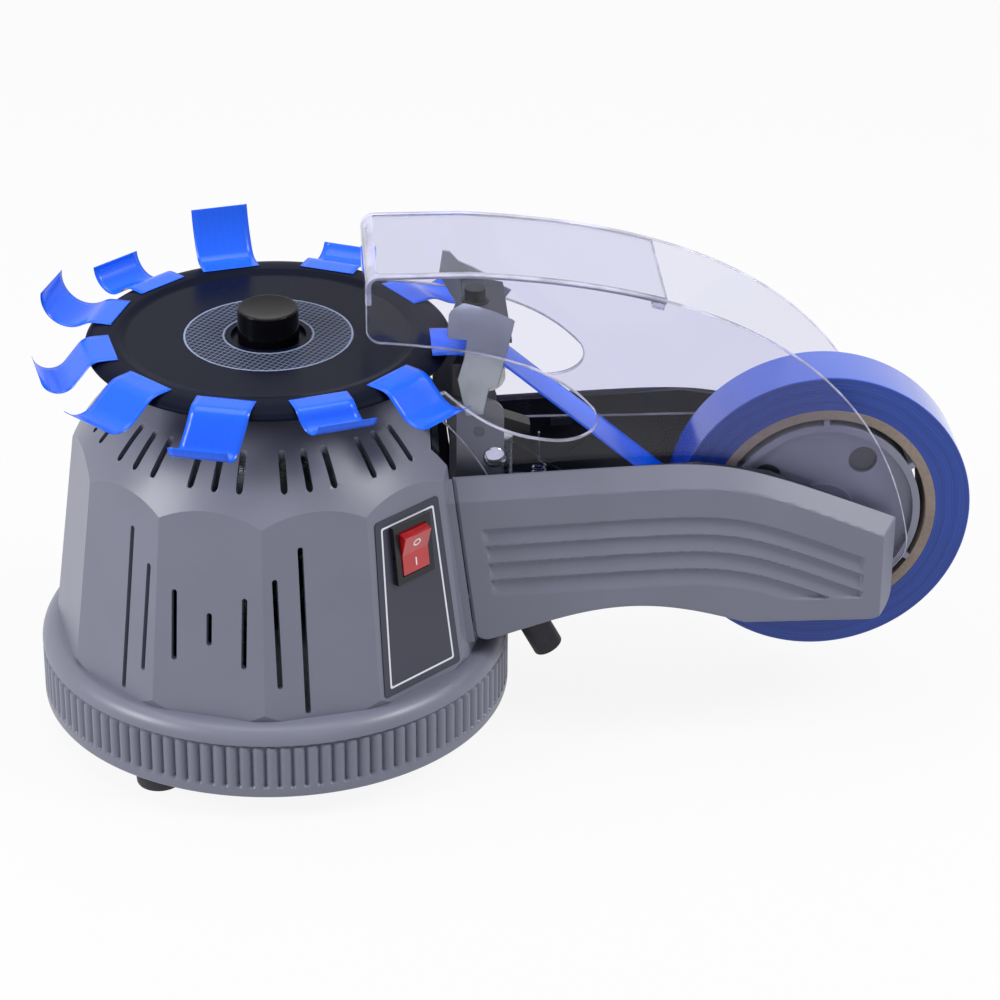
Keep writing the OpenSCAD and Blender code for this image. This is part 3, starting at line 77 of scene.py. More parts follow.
CLOUD_GLOSS = 0.16
Array = np.ndarray
Colour = tuple[float, float, float]
Pair = tuple[float, float]


def srgb(red: int, green: int, blue: int) -> Colour:
    """Turns a colour written in 0 to 255 into linear light, by the screen's standard curve.

    Args:
        red, green, blue: the colour as it looks on a screen.

    Returns:
        The linear colour.
    """
    parts = np.array([red, green, blue]) / 255.0
    linear = np.where(parts <= 0.04045, parts / 12.92, ((parts + 0.055) / 1.055) ** 2.4)
    return tuple(float(v) for v in linear)


def tinted(colour: Colour, factor: float) -> Colour:
    """A colour made lighter or darker by a factor."""
    return tuple(min(1.0, part * factor) for part in colour)


class Socket:
    """A shader value with arithmetic: each operator adds one Math node."""

    def __init__(self, sheet: "NodeSheet", out: bpy.types.NodeSocket) -> None:
        """Keeps the sheet of nodes and the socket that gives the value."""
        self.sheet = sheet
        self.out = out

    def _math(self, operation: str, left: "Value", right: "Value" = 0.0) -> "Socket":
        """Adds one Math node for two values and returns its result."""
        return self.sheet.node("ShaderNodeMath", {"operation": operation}, {0: left, 1: right})

    def __add__(self, other: "Value") -> "Socket":
        """self + other."""
        return self._math("ADD", self, other)

    def __radd__(self, other: "Value") -> "Socket":
        """other + self."""
        return self._math("ADD", other, self)

    def __sub__(self, other: "Value") -> "Socket":
        """self - other."""
        return self._math("SUBTRACT", self, other)

    def __rsub__(self, other: "Value") -> "Socket":
        """other - self."""
        return self._math("SUBTRACT", other, self)

    def __mul__(self, other: "Value") -> "Socket":
        """self * other."""
        return self._math("MULTIPLY", self, other)

    def __rmul__(self, other: "Value") -> "Socket":
        """other * self."""
        return self._math("MULTIPLY", other, self)

    def __abs__(self) -> "Socket":
        """The size of self."""
        return self._math("ABSOLUTE", self)

    def root(self) -> "Socket":
        """The square root of self."""
        return self._math("POWER", self, 0.5)

    def sine(self) -> "Socket":
        """The sine of self, in radians."""
        return self._math("SINE", self)

    def ripple(self) -> "Socket":
        """The sine of self, moved to lie between 0 and 1."""
        return self.sine() * 0.5 + 0.5

    def most(self, other: "Value") -> "Socket":
        """The greater of self and other."""
        return self._math("MAXIMUM", self, other)

    def least(self, other: "Value") -> "Socket":
        """The lesser of self and other."""
        return self._math("MINIMUM", self, other)

    def about(self, middle: "Value", swing: float) -> "Socket":
        """Middle where self is 0.5, changing by swing as self goes from 0 to 1."""
        return middle + (self - 0.5) * swing

    def step(self, low: float, high: float) -> "Socket":
        """A soft step from 0 at low to 1 at high, or down where low is the greater.

        Args:
            low: the value at which the step starts.
            high: the value at which it ends.

        Returns:
            The step.
        """
        ends = {1: low, 2: high, 3: 0.0, 4: 1.0}
        if low > high:
            ends = {1: high, 2: low, 3: 1.0, 4: 0.0}
        smooth = {"interpolation_type": "SMOOTHSTEP"}
        return self.sheet.node("ShaderNodeMapRange", smooth, {0: self, **ends})

    def between(self, rise: Pair, fall: Pair) -> "Socket":
        """1 between two soft steps: up over the ends of rise and down over those of fall.

        Args:
            rise: where the first step starts and ends, in millimetres.
            fall: the same for the second step.

        Returns:
            The product of both steps.
        """
        low, high = (self.step(start * MM, end * MM) for start, end in (rise, fall))
        return low * (1.0 - high)


Value = Union[Socket, float, Sequence[float]]


class NodeSheet:
    """The nodes of one material or of the world."""

    def __init__(self, owner: Union[bpy.types.Material, bpy.types.World], output: str) -> None:
        """Clears the owner's nodes and puts its output there.

        Args:
            owner: the material or the world.
            output: Blender's name of the output's type.
        """
        owner.use_nodes = True
        self.tree = owner.node_tree
        self.tree.nodes.clear()
        self.output = self.tree.nodes.new(output)

    def put(self, socket: bpy.types.NodeSocket, value: Value) -> None:
        """Links a socket to a value, or sets it where the value is a number or a colour.

        Args:
            socket: a node's socket.
            value: a shader value, a number, or the numbers of a colour or vector.
        """
        if isinstance(value, Socket):
            self.tree.links.new(value.out, socket)
        elif isinstance(value, (int, float)):
            socket.default_value = value
        else:
            want = len(socket.default_value)
            socket.default_value = (tuple(value) + (1.0,))[:want]

    def node(
        self, kind: str, settings: dict, sockets: dict, result: Union[int, str] = 0
    ) -> Socket:
        """Adds any node: its settings first, then the values or links of its sockets.

        Args:
            kind: Blender's name of the node's type.
            settings: the node's properties.
            sockets: values by the socket's name or number.
            result: the output that is wanted.

        Returns:
            That output.
        """
        made = self.tree.nodes.new(kind)
        for key, value in settings.items():
            setattr(made, key, value)
        for key, value in sockets.items():
            self.put(made.inputs[key], value)
        return Socket(self, made.outputs[result])

    def show(self, shader: Socket) -> None:
        """Links a shader to the output."""
        self.put(self.output.inputs[0], shader)

    def mixed(self, factor: Socket, first: Socket, second: Socket) -> Socket:
        """Mixes two shaders, the first where the factor is 0 and the second where it is 1."""
        return self.node("ShaderNodeMixShader", {}, {0: factor, 1: first, 2: second})

    def seen(self) -> Socket:
        """Sorts the rays by who sends them.

        Returns:
            1 for rays that the camera, a mirror or a lens sends, 0 for light that falls on things.
        """
        path = self.node("ShaderNodeLightPath", {}, {}, "Is Camera Ray")
        outs = path.out.node.outputs
        glossy = Socket(self, outs["Is Glossy Ray"])
        clear = Socket(self, outs["Is Transmission Ray"])
        return path.most(glossy).most(clear)

    def place(self) -> Socket:
        """The place on the object, in metres."""
        return self.node("ShaderNodeTexCoord", {}, {}, "Object")

    def chart(self) -> Socket:
        """The place on the piece's own UV map."""
        return self.node("ShaderNodeTexCoord", {}, {}, "UV")

    def axes(self, vector: Socket) -> tuple[Socket, Socket, Socket]:
        """The three numbers of a vector."""
        split = self.node("ShaderNodeSeparateXYZ", {}, {0: vector})
        return tuple(Socket(self, out) for out in split.out.node.outputs)

    def reach(self, first: Socket, second: Socket, axle: Pair = (0.0, 0.0)) -> Socket:
        """The distance from an axle: the root of the sum of both squares, in metres.

        Args:
            first, second: the two numbers of the place that lie across the axle.
            axle: the axle's own two numbers, in millimetres.

        Returns:
            The distance.
        """
        away, rise = first - axle[0] * MM, second - axle[1] * MM
        return (away * away + rise * rise).root()

    def noise(
        self, scale: float, detail: float, stretch: Sequence[float] = (1.0, 1.0, 1.0)
    ) -> Socket:
        """Noise over the object.

        Args:
            scale: waves for each metre.
            detail: octaves of finer noise.
            stretch: factors of the scale along x, y and z.

        Returns:
            The noise, about 0.5.
        """
        at = self.node("ShaderNodeMapping", {}, {"Vector": self.place(), "Scale": stretch})
        return self.film_noise(at, scale, detail)

    def film_noise(self, at: Socket, scale: float, detail: float) -> Socket:
        """Noise over any vector."""
        values = {"Vector": at, "Scale": scale, "Detail": detail}
        return self.node("ShaderNodeTexNoise", {}, values)

    def blend(self, factor: Value, low: Value, high: Value) -> Socket:
        """Mixes two colours, low where the factor is 0 and high where it is 1."""
        return self.node("ShaderNodeMix", {"data_type": "RGBA"}, {0: factor, 6: low, 7: high}, 2)

    def tones(self, factor: Value, colour: Colour, low: float, high: float) -> Socket:
        """One colour, tinted by low where the factor is 0 and by high where it is 1."""
        return self.blend(factor, tinted(colour, low), tinted(colour, high))

    def bump(self, height: Value, depth: float, strength: float = 1.0) -> Socket:
        """A normal raised by a height that is depth millimetres where it is 1."""
        values = {"Height": height, "Distance": depth * MM, "Strength": strength}
        return self.node("ShaderNodeBump", {}, values)


class MaterialSheet(NodeSheet):
    """The nodes of one material, round one Principled shader."""

    def __init__(self, name: str) -> None:
        """Makes the material with a bare Principled shader.

        Args:
            name: the material's name.
        """
        self.material = bpy.data.materials.new(name)
        super().__init__(self.material, "ShaderNodeOutputMaterial")
        self.shader = self.node("ShaderNodeBsdfPrincipled", {}, {})
        self.show(self.shader)

    def dress(self, **values: Value) -> None:
        """Sets the Principled shader's sockets; an underscore in a name stands for a space."""
        for key, value in values.items():
            self.put(self.shader.out.node.inputs[key.replace("_", " ")], value)


@dataclass(frozen=True)
class Finish:
    """What every finish has: a name, the record's slot that it belongs to, and a colour."""

    name: str
    slot: str
    colour: Colour

    def paint(self, sheet: MaterialSheet) -> None:
        """Adds the finish's nodes to a sheet."""
        raise NotImplementedError

    def material(self) -> bpy.types.Material:
        """The finish's material, made once.

        Returns:
            The material.
        """
        known = bpy.data.materials.get(self.name)
        if known:
            return known
        sheet = MaterialSheet(self.name)
        self.paint(sheet)
        return sheet.material


@dataclass(frozen=True)
class MouldedPlastic(Finish):
    """Moulded plastic with a fine grain, faint flow clouds and a little uneven gloss."""

    roughness: float
    grain: float
    clouds: float
    shine: float = 0.5
    speck_scale: float = 1700.0
    speck_gloss: float = 0.03

    def paint(self, sheet: MaterialSheet) -> None:
        """Grain as bump, clouds in the colour and the gloss.

        Args:
            sheet: the material's nodes.
        """
        cloud = sheet.noise(CLOUD_SCALE, CLOUD_DETAIL)
        speck = sheet.noise(self.speck_scale, 1.0)
        tone = cloud.step(*CLOUD_ENDS)
        sheet.dress(
            Base_Color=sheet.tones(tone, self.colour, 1.0 - self.clouds, 1.0 + self.clouds),
            Roughness=speck.about(cloud.about(self.roughness, CLOUD_GLOSS), self.speck_gloss),
            Normal=sheet.bump(speck, self.grain),
            Specular_IOR_Level=self.shine,
        )


@dataclass(frozen=True)
class HubPlastic(Finish):
    """Smooth moulding of the hub, with painted shade inside its four blind bores."""

    ring: Pair = (19.0, 31.0)
    ring_soft: float = 0.1
    face_y: float = -21.7
    depth: float = 2.5
    depth_soft: float = 0.2
    full_share: float = 0.8
    # shade: how dark the painted shade in the bores is, as a factor of the colour
    shade: float = 0.3
    clouds: float = 0.04
    roughness: float = 0.36

    def paint(self, sheet: MaterialSheet) -> None:
        """The shade lies where the distance from the axle is in the bores' ring, below the face.

        Args:
            sheet: the material's nodes.
        """
        x, y, z = sheet.axes(sheet.place())
        (low, high), soft = self.ring, self.ring_soft
        inside = sheet.reach(x, z, AXLE).between((low, low + soft), (high - soft, high))
        top, floor = self.face_y, self.face_y + self.depth
        full = top + self.depth * self.full_share
        sunk = y.between((top + self.depth_soft, full), (floor, floor + self.depth_soft))
        cloud = sheet.noise(CLOUD_SCALE, CLOUD_DETAIL)
        tone = cloud.step(*CLOUD_ENDS)
        plain = sheet.tones(tone, self.colour, 1.0 - self.clouds, 1.0 + self.clouds)
        sheet.dress(
            # painted shade: the colour darkens where the bores' ring and their depth meet
            Base_Color=sheet.blend(inside * sunk, plain, tinted(self.colour, self.shade)),
            Roughness=cloud.about(self.roughness, CLOUD_GLOSS),
        )


@dataclass(frozen=True)
class DiscPlastic(Finish):
    """Black moulding of the disc: a polished dish inside a darker, duller band."""

    dish_r: float = 51.0
    dish_soft: float = 0.8
    lines: float = 9000.0
    line_depth: float = 0.0012
    coat: float = 0.012

    def paint(self, sheet: MaterialSheet) -> None:
        """Fine turning lines in the dish; the band outside it loses the coat.

        Args:
            sheet: the material's nodes.
        """
        x, y, _ = sheet.axes(sheet.place())
        reach = sheet.reach(x, y)
        band = reach.step((self.dish_r - self.dish_soft) * MM, (self.dish_r + self.dish_soft) * MM)
        cloud = sheet.noise(30.0, 4.0)
        turned = (reach * self.lines + cloud * 6.0).ripple()
        dish = sheet.tones(turned * 0.5 + cloud * 0.5, self.colour, 0.8, 1.1)
        sheet.dress(
            Base_Color=sheet.blend(band, dish, tinted(self.colour, 0.9)),
            Roughness=cloud.about(0.26 + band * 0.16, 0.12),
            Normal=sheet.bump(turned, self.line_depth),
            Coat_Weight=self.coat - band * self.coat,
            Coat_Roughness=0.16,
            Specular_IOR_Level=0.04,
        )


@dataclass(frozen=True)
class SheetMetal(Finish):
    """Metal with fine drawn lines along one axis."""

    roughness: float
    stretch: tuple[float, float, float] = (1.0, 1.0, 1.0)
    metallic: float = 1.0
    dirt: float = 0.12
    line_gloss: float = 0.25
    line_depth: float = 0.015

    def paint(self, sheet: MaterialSheet) -> None:
        """Lines in the gloss and the bump, stains in the colour and the gloss.

        Args:
            sheet: the material's nodes.
        """
        line = sheet.noise(900.0, 4.0, self.stretch)
        stain = sheet.noise(70.0, 5.0)
        sheet.dress(
            Base_Color=sheet.tones(stain.step(0.35, 0.75), self.colour, 1.0, 1.0 - self.dirt * 2),
            Metallic=self.metallic,
            Roughness=stain.about(line.about(self.roughness, self.line_gloss), self.dirt),
            Normal=sheet.bump(line, self.line_depth),
        )


@dataclass(frozen=True)
class ClearPlastic(Finish):
    """Clear acrylic with a faint tint, hairline scuffs, and painted highlight and shade on its
    edges.
    """

    # edge: colour of the painted edge highlight; edge_shade darkens it to painted shade
    edge: Colour = srgb(214, 214, 236)
    edge_shade: float = 0.5
    painted_edge_share: float = 0.62
    bending: float = 1.3

    def paint(self, sheet: MaterialSheet) -> None:
        """Clear on the flats; towards an edge, where the chart's first number is 1, an opaque
        clouded tone of painted highlight and shade takes over.

        Args:
            sheet: the material's nodes.
        """
        scuffs_and_painted_edge = sheet.noise(60.0, 6.0, (1.0, 1.0, 3.0))
        near, _, _ = sheet.axes(sheet.chart())
        sheet.dress(
            Base_Color=self.colour,
            Roughness=scuffs_and_painted_edge.step(0.62, 0.8) * 0.04,
            Transmission_Weight=1.0,
            IOR=self.bending,
        )
        # painted highlight and shade: the opaque edge tone goes from dark to pale by the noise
        shade = sheet.tones(scuffs_and_painted_edge.step(0.35, 0.65), self.edge, self.edge_shade, 1.0)
        rim = sheet.node("ShaderNodeBsdfPrincipled", {}, {"Base Color": shade, "Roughness": 0.16})
        sheet.show(sheet.mixed(near.step(0.25, 0.9) * self.painted_edge_share, sheet.shader, rim))


@dataclass(frozen=True)
class TapeFilm(Finish):
    """Glossy plastic film with faint lengthwise streaks."""

    roughness: float = 0.24
    streaks: float = 60.0
    ripple_depth: float = 0.05
    shine: float = 0.36

    def paint(self, sheet: MaterialSheet) -> None:
        """Streaks along the film's own length, ripples in its gloss.

        Args:
            sheet: the material's nodes.
        """
        _, across, _ = sheet.axes(sheet.chart())
        wave = sheet.film_noise(sheet.chart(), 5.0, 3.0)
        ripple = sheet.film_noise(sheet.chart(), 1.6, 1.0)
        streak = (across * self.streaks + wave * 9.0).ripple()
        sheet.dress(
            Base_Color=sheet.tones(streak * 0.5 + wave * 0.5, self.colour, 0.94, 1.05),
            Roughness=ripple.about(self.roughness, 0.12),
            Normal=sheet.bump(ripple, self.ripple_depth, 0.6),
            Specular_IOR_Level=self.shine,
        )


@dataclass(frozen=True)
class WoundTape(Finish):
    """A wound roll: glossy round its rim, with fine uneven layers on its sides."""

    rim_r: float = 54.5
    deep: Colour = srgb(16, 50, 130)
    flank: Colour = srgb(28, 66, 156)
    fine_lines: float = 5200.0
    coarse_lines: float = 1450.0
    layer_depth: float = 0.02

    def paint(self, sheet: MaterialSheet) -> None:
        """Layers from the distance to the axle; the rim is paler and glossier than the sides.

        Args:
            sheet: the material's nodes.
        """
        x, _, z = sheet.axes(sheet.place())
        reach = sheet.reach(x, z, AXLE)
        wobble = sheet.noise(45.0, 3.0)
        layer = (reach * self.fine_lines + wobble * 14.0).ripple()
        coarse = (reach * self.coarse_lines + wobble * 5.0).ripple()
        rim = reach.step((self.rim_r - 0.5) * MM, (self.rim_r - 0.1) * MM)
        side = sheet.blend(layer * 0.55 + coarse * 0.45, self.deep, self.flank)
        sheet.dress(
            Base_Color=sheet.blend(rim, side, tinted(self.colour, 0.86)),
            Roughness=layer.about(0.42 - rim * 0.2, 0.08),
            Normal=sheet.bump(layer * 0.6 + coarse * 0.4, self.layer_depth, 0.6),
            Coat_Weight=rim * 0.9,
            Coat_Roughness=0.14,
        )


@dataclass(frozen=True)
class PaperBoard(Finish):
    """Grey-brown board with fibres and paler patches."""

    roughness: float = 0.86
    fibre_depth: float = 0.12

    def paint(self, sheet: MaterialSheet) -> None:
        """Fibres and patches in the colour and the bump.

        Args:
            sheet: the material's nodes.
        """
        fibre = sheet.noise(900.0, 5.0, (1.0, 0.25, 1.0))
        patch = sheet.noise(120.0, 5.0)
        sheet.dress(
            Base_Color=sheet.tones(fibre * 0.6 + patch * 0.4, self.colour, 0.55, 1.35),
            Roughness=self.roughness,
            Normal=sheet.bump(fibre + patch, self.fibre_depth),
        )


@dataclass(frozen=True)
class Rubber(Finish):
    """Rubber with a dusty bloom."""

    roughness: float = 0.62
    pore_depth: float = 0.03

    def paint(self, sheet: MaterialSheet) -> None:
        """Bloom in the colour and the gloss, pores in the bump.

        Args:
            sheet: the material's nodes.
        """
        bloom = sheet.noise(140.0, 5.0)
        sheet.dress(
            Base_Color=sheet.tones(bloom.step(0.45, 0.8), self.colour, 1.0, 2.0),
            Roughness=bloom.about(self.roughness, 0.2),
            Normal=sheet.bump(sheet.noise(1800.0, 2.0), self.pore_depth),
        )


@dataclass(frozen=True)
class PrintedRing(Finish):
    """A dark printed ring with a fine slanting lattice between two pale circles."""

    circles: Pair = (30.0, 16.1)
    circle_ends: Pair = (0.4, 0.22)
    pitch: float = 2.0
    slant: float = 57.0
    line_ends: Pair = (0.34, 0.16)
    line_ink: float = 0.85
    line: Colour = srgb(112, 122, 146)
    edge: Colour = srgb(134, 146, 172)

    def paint(self, sheet: MaterialSheet) -> None:
        """Lattice lines where x and y, turned by the slant, pass a multiple of the pitch.

        Args:
            sheet: the material's nodes.
        """
        x, y, _ = sheet.axes(sheet.place())
        wave, turn = math.pi / (self.pitch * MM), math.radians(self.slant)
        c, s = math.cos(turn) * wave, math.sin(turn) * wave
        rise = abs((x * c + y * s).sine())
        fall = abs((y * c - x * s).sine())
        lattice = rise.least(fall).step(*self.line_ends)
        reach = sheet.reach(x, y)
        start, end = (width * MM for width in self.circle_ends)
        outer, inner = (abs(reach - r * MM).step(start, end) for r in self.circles)
        base = sheet.blend(lattice * self.line_ink, self.colour, self.line)
        sheet.dress(
            Base_Color=sheet.blend(outer.most(inner), base, self.edge),
            Roughness=sheet.noise(60.0, 4.0).about(0.34, 0.2),
            Specular_IOR_Level=0.05,
        )


@dataclass(frozen=True)
class LabelFilm(Finish):
    """A dark satin label with a thin pale line along its border."""

    line: Colour = srgb(222, 224, 230)
    line_in: float = 3.1
    line_ends: Pair = (0.45, 0.3)
    grain: float = 0.01

    def paint(self, sheet: MaterialSheet) -> None:
        """The line stands where the chart's first number, the distance from the edge, is line_in.

        Args:
            sheet: the material's nodes.
        """
        depth, _, _ = sheet.axes(sheet.chart())
        border = abs(depth - self.line_in).step(*self.line_ends)
        cloud = sheet.noise(50.0, 4.0)
        film = sheet.tones(cloud, self.colour, 0.9, 1.1)
        sheet.dress(
            Base_Color=sheet.blend(border, film, self.line),
            Roughness=cloud.about(0.4, 0.15),
            Normal=sheet.bump(sheet.noise(3000.0, 1.0), self.grain),
        )


@dataclass(frozen=True)
class LensPlastic(Finish):
    """Coloured plastic of the rocker, with a deep colour and a wet gloss."""

    def paint(self, sheet: MaterialSheet) -> None:
        """Depth clouds in the colour under a clear coat.

        Args:
            sheet: the material's nodes.
        """
        cloud = sheet.noise(260.0, 3.0)
        sheet.dress(
            Base_Color=sheet.tones(cloud, self.colour, 0.72, 1.15),
            Roughness=cloud.about(0.22, 0.1),
            Coat_Weight=0.6,
            Coat_Roughness=0.05,
        )


class Skin(Enum):
    """The finishes of the dispenser's pieces."""

    GREY = MouldedPlastic("grey_moulding", "grey_plastic", srgb(113, 115, 131), 0.37, 0.0015, 0.03)
    HUB_GREY = HubPlastic("hub_moulding", "grey_plastic", srgb(128, 130, 147))
    POST_GREY = MouldedPlastic(
        "post_moulding", "grey_plastic", srgb(104, 106, 116), 0.36, 0.003, 0.04)
    BLACK = MouldedPlastic(
        "black_moulding", "black_plastic", srgb(32, 34, 44), 0.42, 0.006, 0.14, 0.25)
    DISC = DiscPlastic("disc_moulding", "black_gloss", srgb(11, 15, 32))
    KNOB = MouldedPlastic("knob_moulding", "black_gloss", srgb(9, 9, 13), 0.13, 0.0008, 0.1, 0.11)
    BEZEL = MouldedPlastic("bezel_moulding", "black_gloss", srgb(26, 27, 33), 0.3, 0.004, 0.1, 0.35)
    WHITE = MouldedPlastic(
        "white_moulding", "white_plastic", srgb(226, 226, 218), 0.45, 0.006, 0.04)
    BOARD = MouldedPlastic("board_lacquer", "board", srgb(28, 92, 52), 0.35, 0.006, 0.1)
    COIL = MouldedPlastic("coil_wrapping", "coil_wrap", srgb(52, 72, 110), 0.5, 0.01, 0.1)
    RED = LensPlastic("red_lens", "red_plastic", srgb(182, 14, 22))
    MARK = MouldedPlastic("white_ink", "white_plastic", srgb(236, 232, 232), 0.4, 0.003, 0.03)
    RUBBER = Rubber("dark_rubber", "rubber", srgb(30, 30, 38))
    SILICONE = Rubber("pale_silicone", "silicone", srgb(206, 206, 198))
    STEEL = SheetMetal("bright_steel", "steel", srgb(205, 206, 210), 0.28)
    CHROME = SheetMetal("chrome_plate", "chrome", srgb(222, 222, 228), 0.12, dirt=0.04)
    SHEET = SheetMetal(
        "zinc_sheet_metal", "zinc_sheet", srgb(168, 173, 186), 0.42, (1.0, 1.0, 0.12), 0.8, 0.14)
    PLATE = SheetMetal(
        "bead_blasted_sheet", "zinc_sheet", srgb(154, 159, 170), 0.46, (1.0, 1.0, 0.3), 0.75, 0.08)
    DARK_SHEET = SheetMetal(
        "dark_sheet_metal", "black_steel", srgb(74, 76, 82), 0.4, (0.15, 1.0, 1.0), 0.7)
    BLACK_STEEL = SheetMetal(
        "blackened_steel", "black_steel", srgb(20, 20, 23), 0.34, metallic=0.3)
    MOTOR = SheetMetal("motor_case", "motor_metal", srgb(96, 99, 106), 0.4, (1.0, 1.0, 0.2), 0.8)
    CLEAR = ClearPlastic("clear_acrylic", "clear_plastic", (0.82, 0.82, 0.92))
    TAPE = TapeFilm("blue_film", "blue_tape", srgb(8, 92, 232))
    ROLL = WoundTape("blue_winding", "blue_tape", srgb(18, 80, 205))
    BOARD_CORE = PaperBoard("core_board", "cardboard", srgb(142, 129, 118))
    PRINT = PrintedRing("lattice_print", "disc_print", srgb(24, 29, 46))
    LABEL = LabelFilm("label_film_dark", "label_film", srgb(46, 48, 64))


def grid_quads(
    rows: int, cols: int, loop_rows: bool = False, loop_cols: bool = False
) -> Array:
    """The four-cornered faces of a grid of points.

    Args:
        rows, cols: the grid's size.
        loop_rows, loop_cols: whether the last row or column joins the first.

    Returns:
        Corner numbers, four for each face.
    """
    r, c = np.meshgrid(
        np.arange(rows if loop_rows else rows - 1),
        np.arange(cols if loop_cols else cols - 1),
        indexing="ij",
    )
    r2, c2 = (r + 1) % rows, (c + 1) % cols
    corners = [r * cols + c, r * cols + c2, r2 * cols + c2, r2 * cols + c]
    return np.stack(corners, -1).reshape(-1, 4)


def capped_tube(rows: int, cols: int) -> list[list[int]]:
    """The faces of a tube: each row is a loop of points, and a flat cap closes either end.

    Args:
        rows, cols: loops along the tube, and points round it.

    Returns:
        Lists of corner numbers.
    """
    last = (rows - 1) * cols
    caps = [list(range(cols))[::-1], list(range(last, last + cols))]
    return grid_quads(rows, cols, loop_cols=True).tolist() + caps


def put_mesh(
    name: str, points: Array, faces: Iterable, material: bpy.types.Material,
    chart: Array | None = None, crease: float = 32.0,
) -> bpy.types.Object:
    """Makes an object of points in millimetres, with its normals outwards.

    Args:
        name: the object's name.
        points: rows of x, y and z.
        faces: lists of corner numbers.
        material: its material.
        chart: two numbers for each point, kept as the UV map.
        crease: the angle in degrees past which an edge is sharp.

    Returns:
        The object, at the origin.
    """
    mesh = bpy.data.meshes.new(name)
    mesh.from_pydata((points.reshape(-1, 3) * MM).tolist(), [], [list(f) for f in faces])
    if chart is not None:
        corner = np.zeros(len(mesh.loops), np.int32)
        mesh.loops.foreach_get("vertex_index", corner)
        places = chart.reshape(-1, 2)[corner].ravel()
        mesh.uv_layers.new(name="chart").data.foreach_set("uv", places)
    work = bmesh.new()
    work.from_mesh(mesh)
    bmesh.ops.remove_doubles(work, verts=work.verts, dist=SAME_SPOT)
    bmesh.ops.recalc_face_normals(work, faces=work.faces)
    work.to_mesh(mesh)
    work.free()
    mesh.polygons.foreach_set("use_smooth", np.ones(len(mesh.polygons), bool))
    mesh.set_sharp_from_angle(angle=math.radians(crease))
    made = bpy.data.objects.new(name, mesh)
    bpy.context.scene.collection.objects.link(made)
    mesh.materials.append(material)
    return made


@dataclass(frozen=True)
class Piece:
    """A new piece: its name, CAD body and finish, and the CAD nodes that it replaces.

    A film is one sheet that gets this thickness. An edge that turns more than the crease is sharp.
    """

    name: str
    body: str
    skin: Skin
    nodes: tuple[str, ...] = ()
    crease: float = 32.0
    film: float = 0.0

    def make(self, points: Array, faces: Iterable, chart: Array | None = None) -> None:
        """Makes the piece, rides it on its body and hides the CAD nodes that it replaces.

        Args:
            points: rows of x, y and z, in millimetres.
            faces: lists of corner numbers.
            chart: two numbers for each point, kept as the UV map.
        """
        material = self.skin.value.material()
        piece = put_mesh(self.name, points, faces, material, chart, self.crease)
        if self.film:
            film = piece.modifiers.new("film", "SOLIDIFY")
            film.thickness = self.film * MM
            film.offset = 0.0
        else:
            piece.modifiers.new("shade", "WEIGHTED_NORMAL").keep_sharp = True
        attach(piece, self.body)
        if self.nodes:
            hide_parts(*self.nodes)
        LOG.info("%s on %s, for %s", piece.name, self.body, ", ".join(self.nodes) or "no node")

    def loop(self, grid: Array, chart: Array | None = None, closed: bool = True) -> None:
        """Makes the piece of a grid whose last row joins its first.

        Args:
            grid: rows of points.
            chart: two numbers for each point.
            closed: whether the columns join too.
        """
        rows, cols = grid.shape[:2]
        self.make(grid, grid_quads(rows, cols, True, closed), chart)


def edge_chart(near: Array) -> Array:
    """A chart of one number for each point, such as its distance from an edge."""
    return np.stack([near, np.zeros_like(near)], -1)


def film_chart(along: Array, across: Array) -> Array:
    """A film's chart: its length and its width."""
    return np.stack(np.broadcast_arrays(along[:, None], across[None]), -1) / FILM_CHART


def bezier(corners: Sequence[Sequence[float]], count: int) -> Array:
    """Points along a cubic curve: its corners weighted by the cubic's four terms.

    Args:
        corners: its four control points.
        count: how many points.

    Returns:
        The points, from the first control point to the last.
    """
    t = np.linspace(0.0, 1.0, count)[:, None]
    a, b, c, d = (np.array(corner, float) for corner in corners)
    return (1 - t) ** 3 * a + 3 * (1 - t) ** 2 * t * b + 3 * (1 - t) * t * t * c + t**3 * d


def arc(centre: Sequence[float], r: float, start: float, end: float, count: int) -> Array:
    """Points along an arc, with its angles in degrees."""
    w = np.radians(np.linspace(start, end, count))
    return np.array(centre, float) + r * np.stack([np.cos(w), np.sin(w)], -1)


def oblong(across: Pair, up: Pair) -> Array:
    """The four corners of a rectangle, anticlockwise."""
    (left, right), (low, high) = across, up
    return np.array([[left, low], [right, low], [right, high], [left, high]], float)


def soft_box(half: Pair, span: Pair, r: float, count: int) -> Array:
    """A closed outline with four round corners, which may be wider at its foot or its top.

    Args:
        half: half of its width at the foot and at the top.
        span: the heights of the foot and the top.
        r: the radius of the corners.
        count: points of each corner.

    Returns:
        Rows of across and up.
    """
    (low, high), (foot, top) = half, span
    mids = [(-low + r, foot + r), (low - r, foot + r), (high - r, top - r), (-high + r, top - r)]
    turns = zip(mids, (180, 270, 0, 90))
    return np.concatenate([arc(mid, r, start, start + 90, count) for mid, start in turns])


def normals_of(outline: Array, least: float = 0.35) -> Array:
    """Mitred normals of a closed outline: both sides' normals added, over 1 plus their dot product.

    Args:
        outline: the points, in order.
        least: the least divisor, which holds back sharp corners.

    Returns:
        Normals to the left of the outline's direction, scaled so that an offset is even.
    """
    before = outline - np.roll(outline, 1, 0)
    after = np.roll(outline, -1, 0) - outline
    left = [np.stack([-v[:, 1], v[:, 0]], -1) / np.linalg.norm(v, axis=1)[:, None]
            for v in (before, after)]
    facing = 1.0 + (left[0] * left[1]).sum(1)
    return (left[0] + left[1]) / np.maximum(facing, least)[:, None]


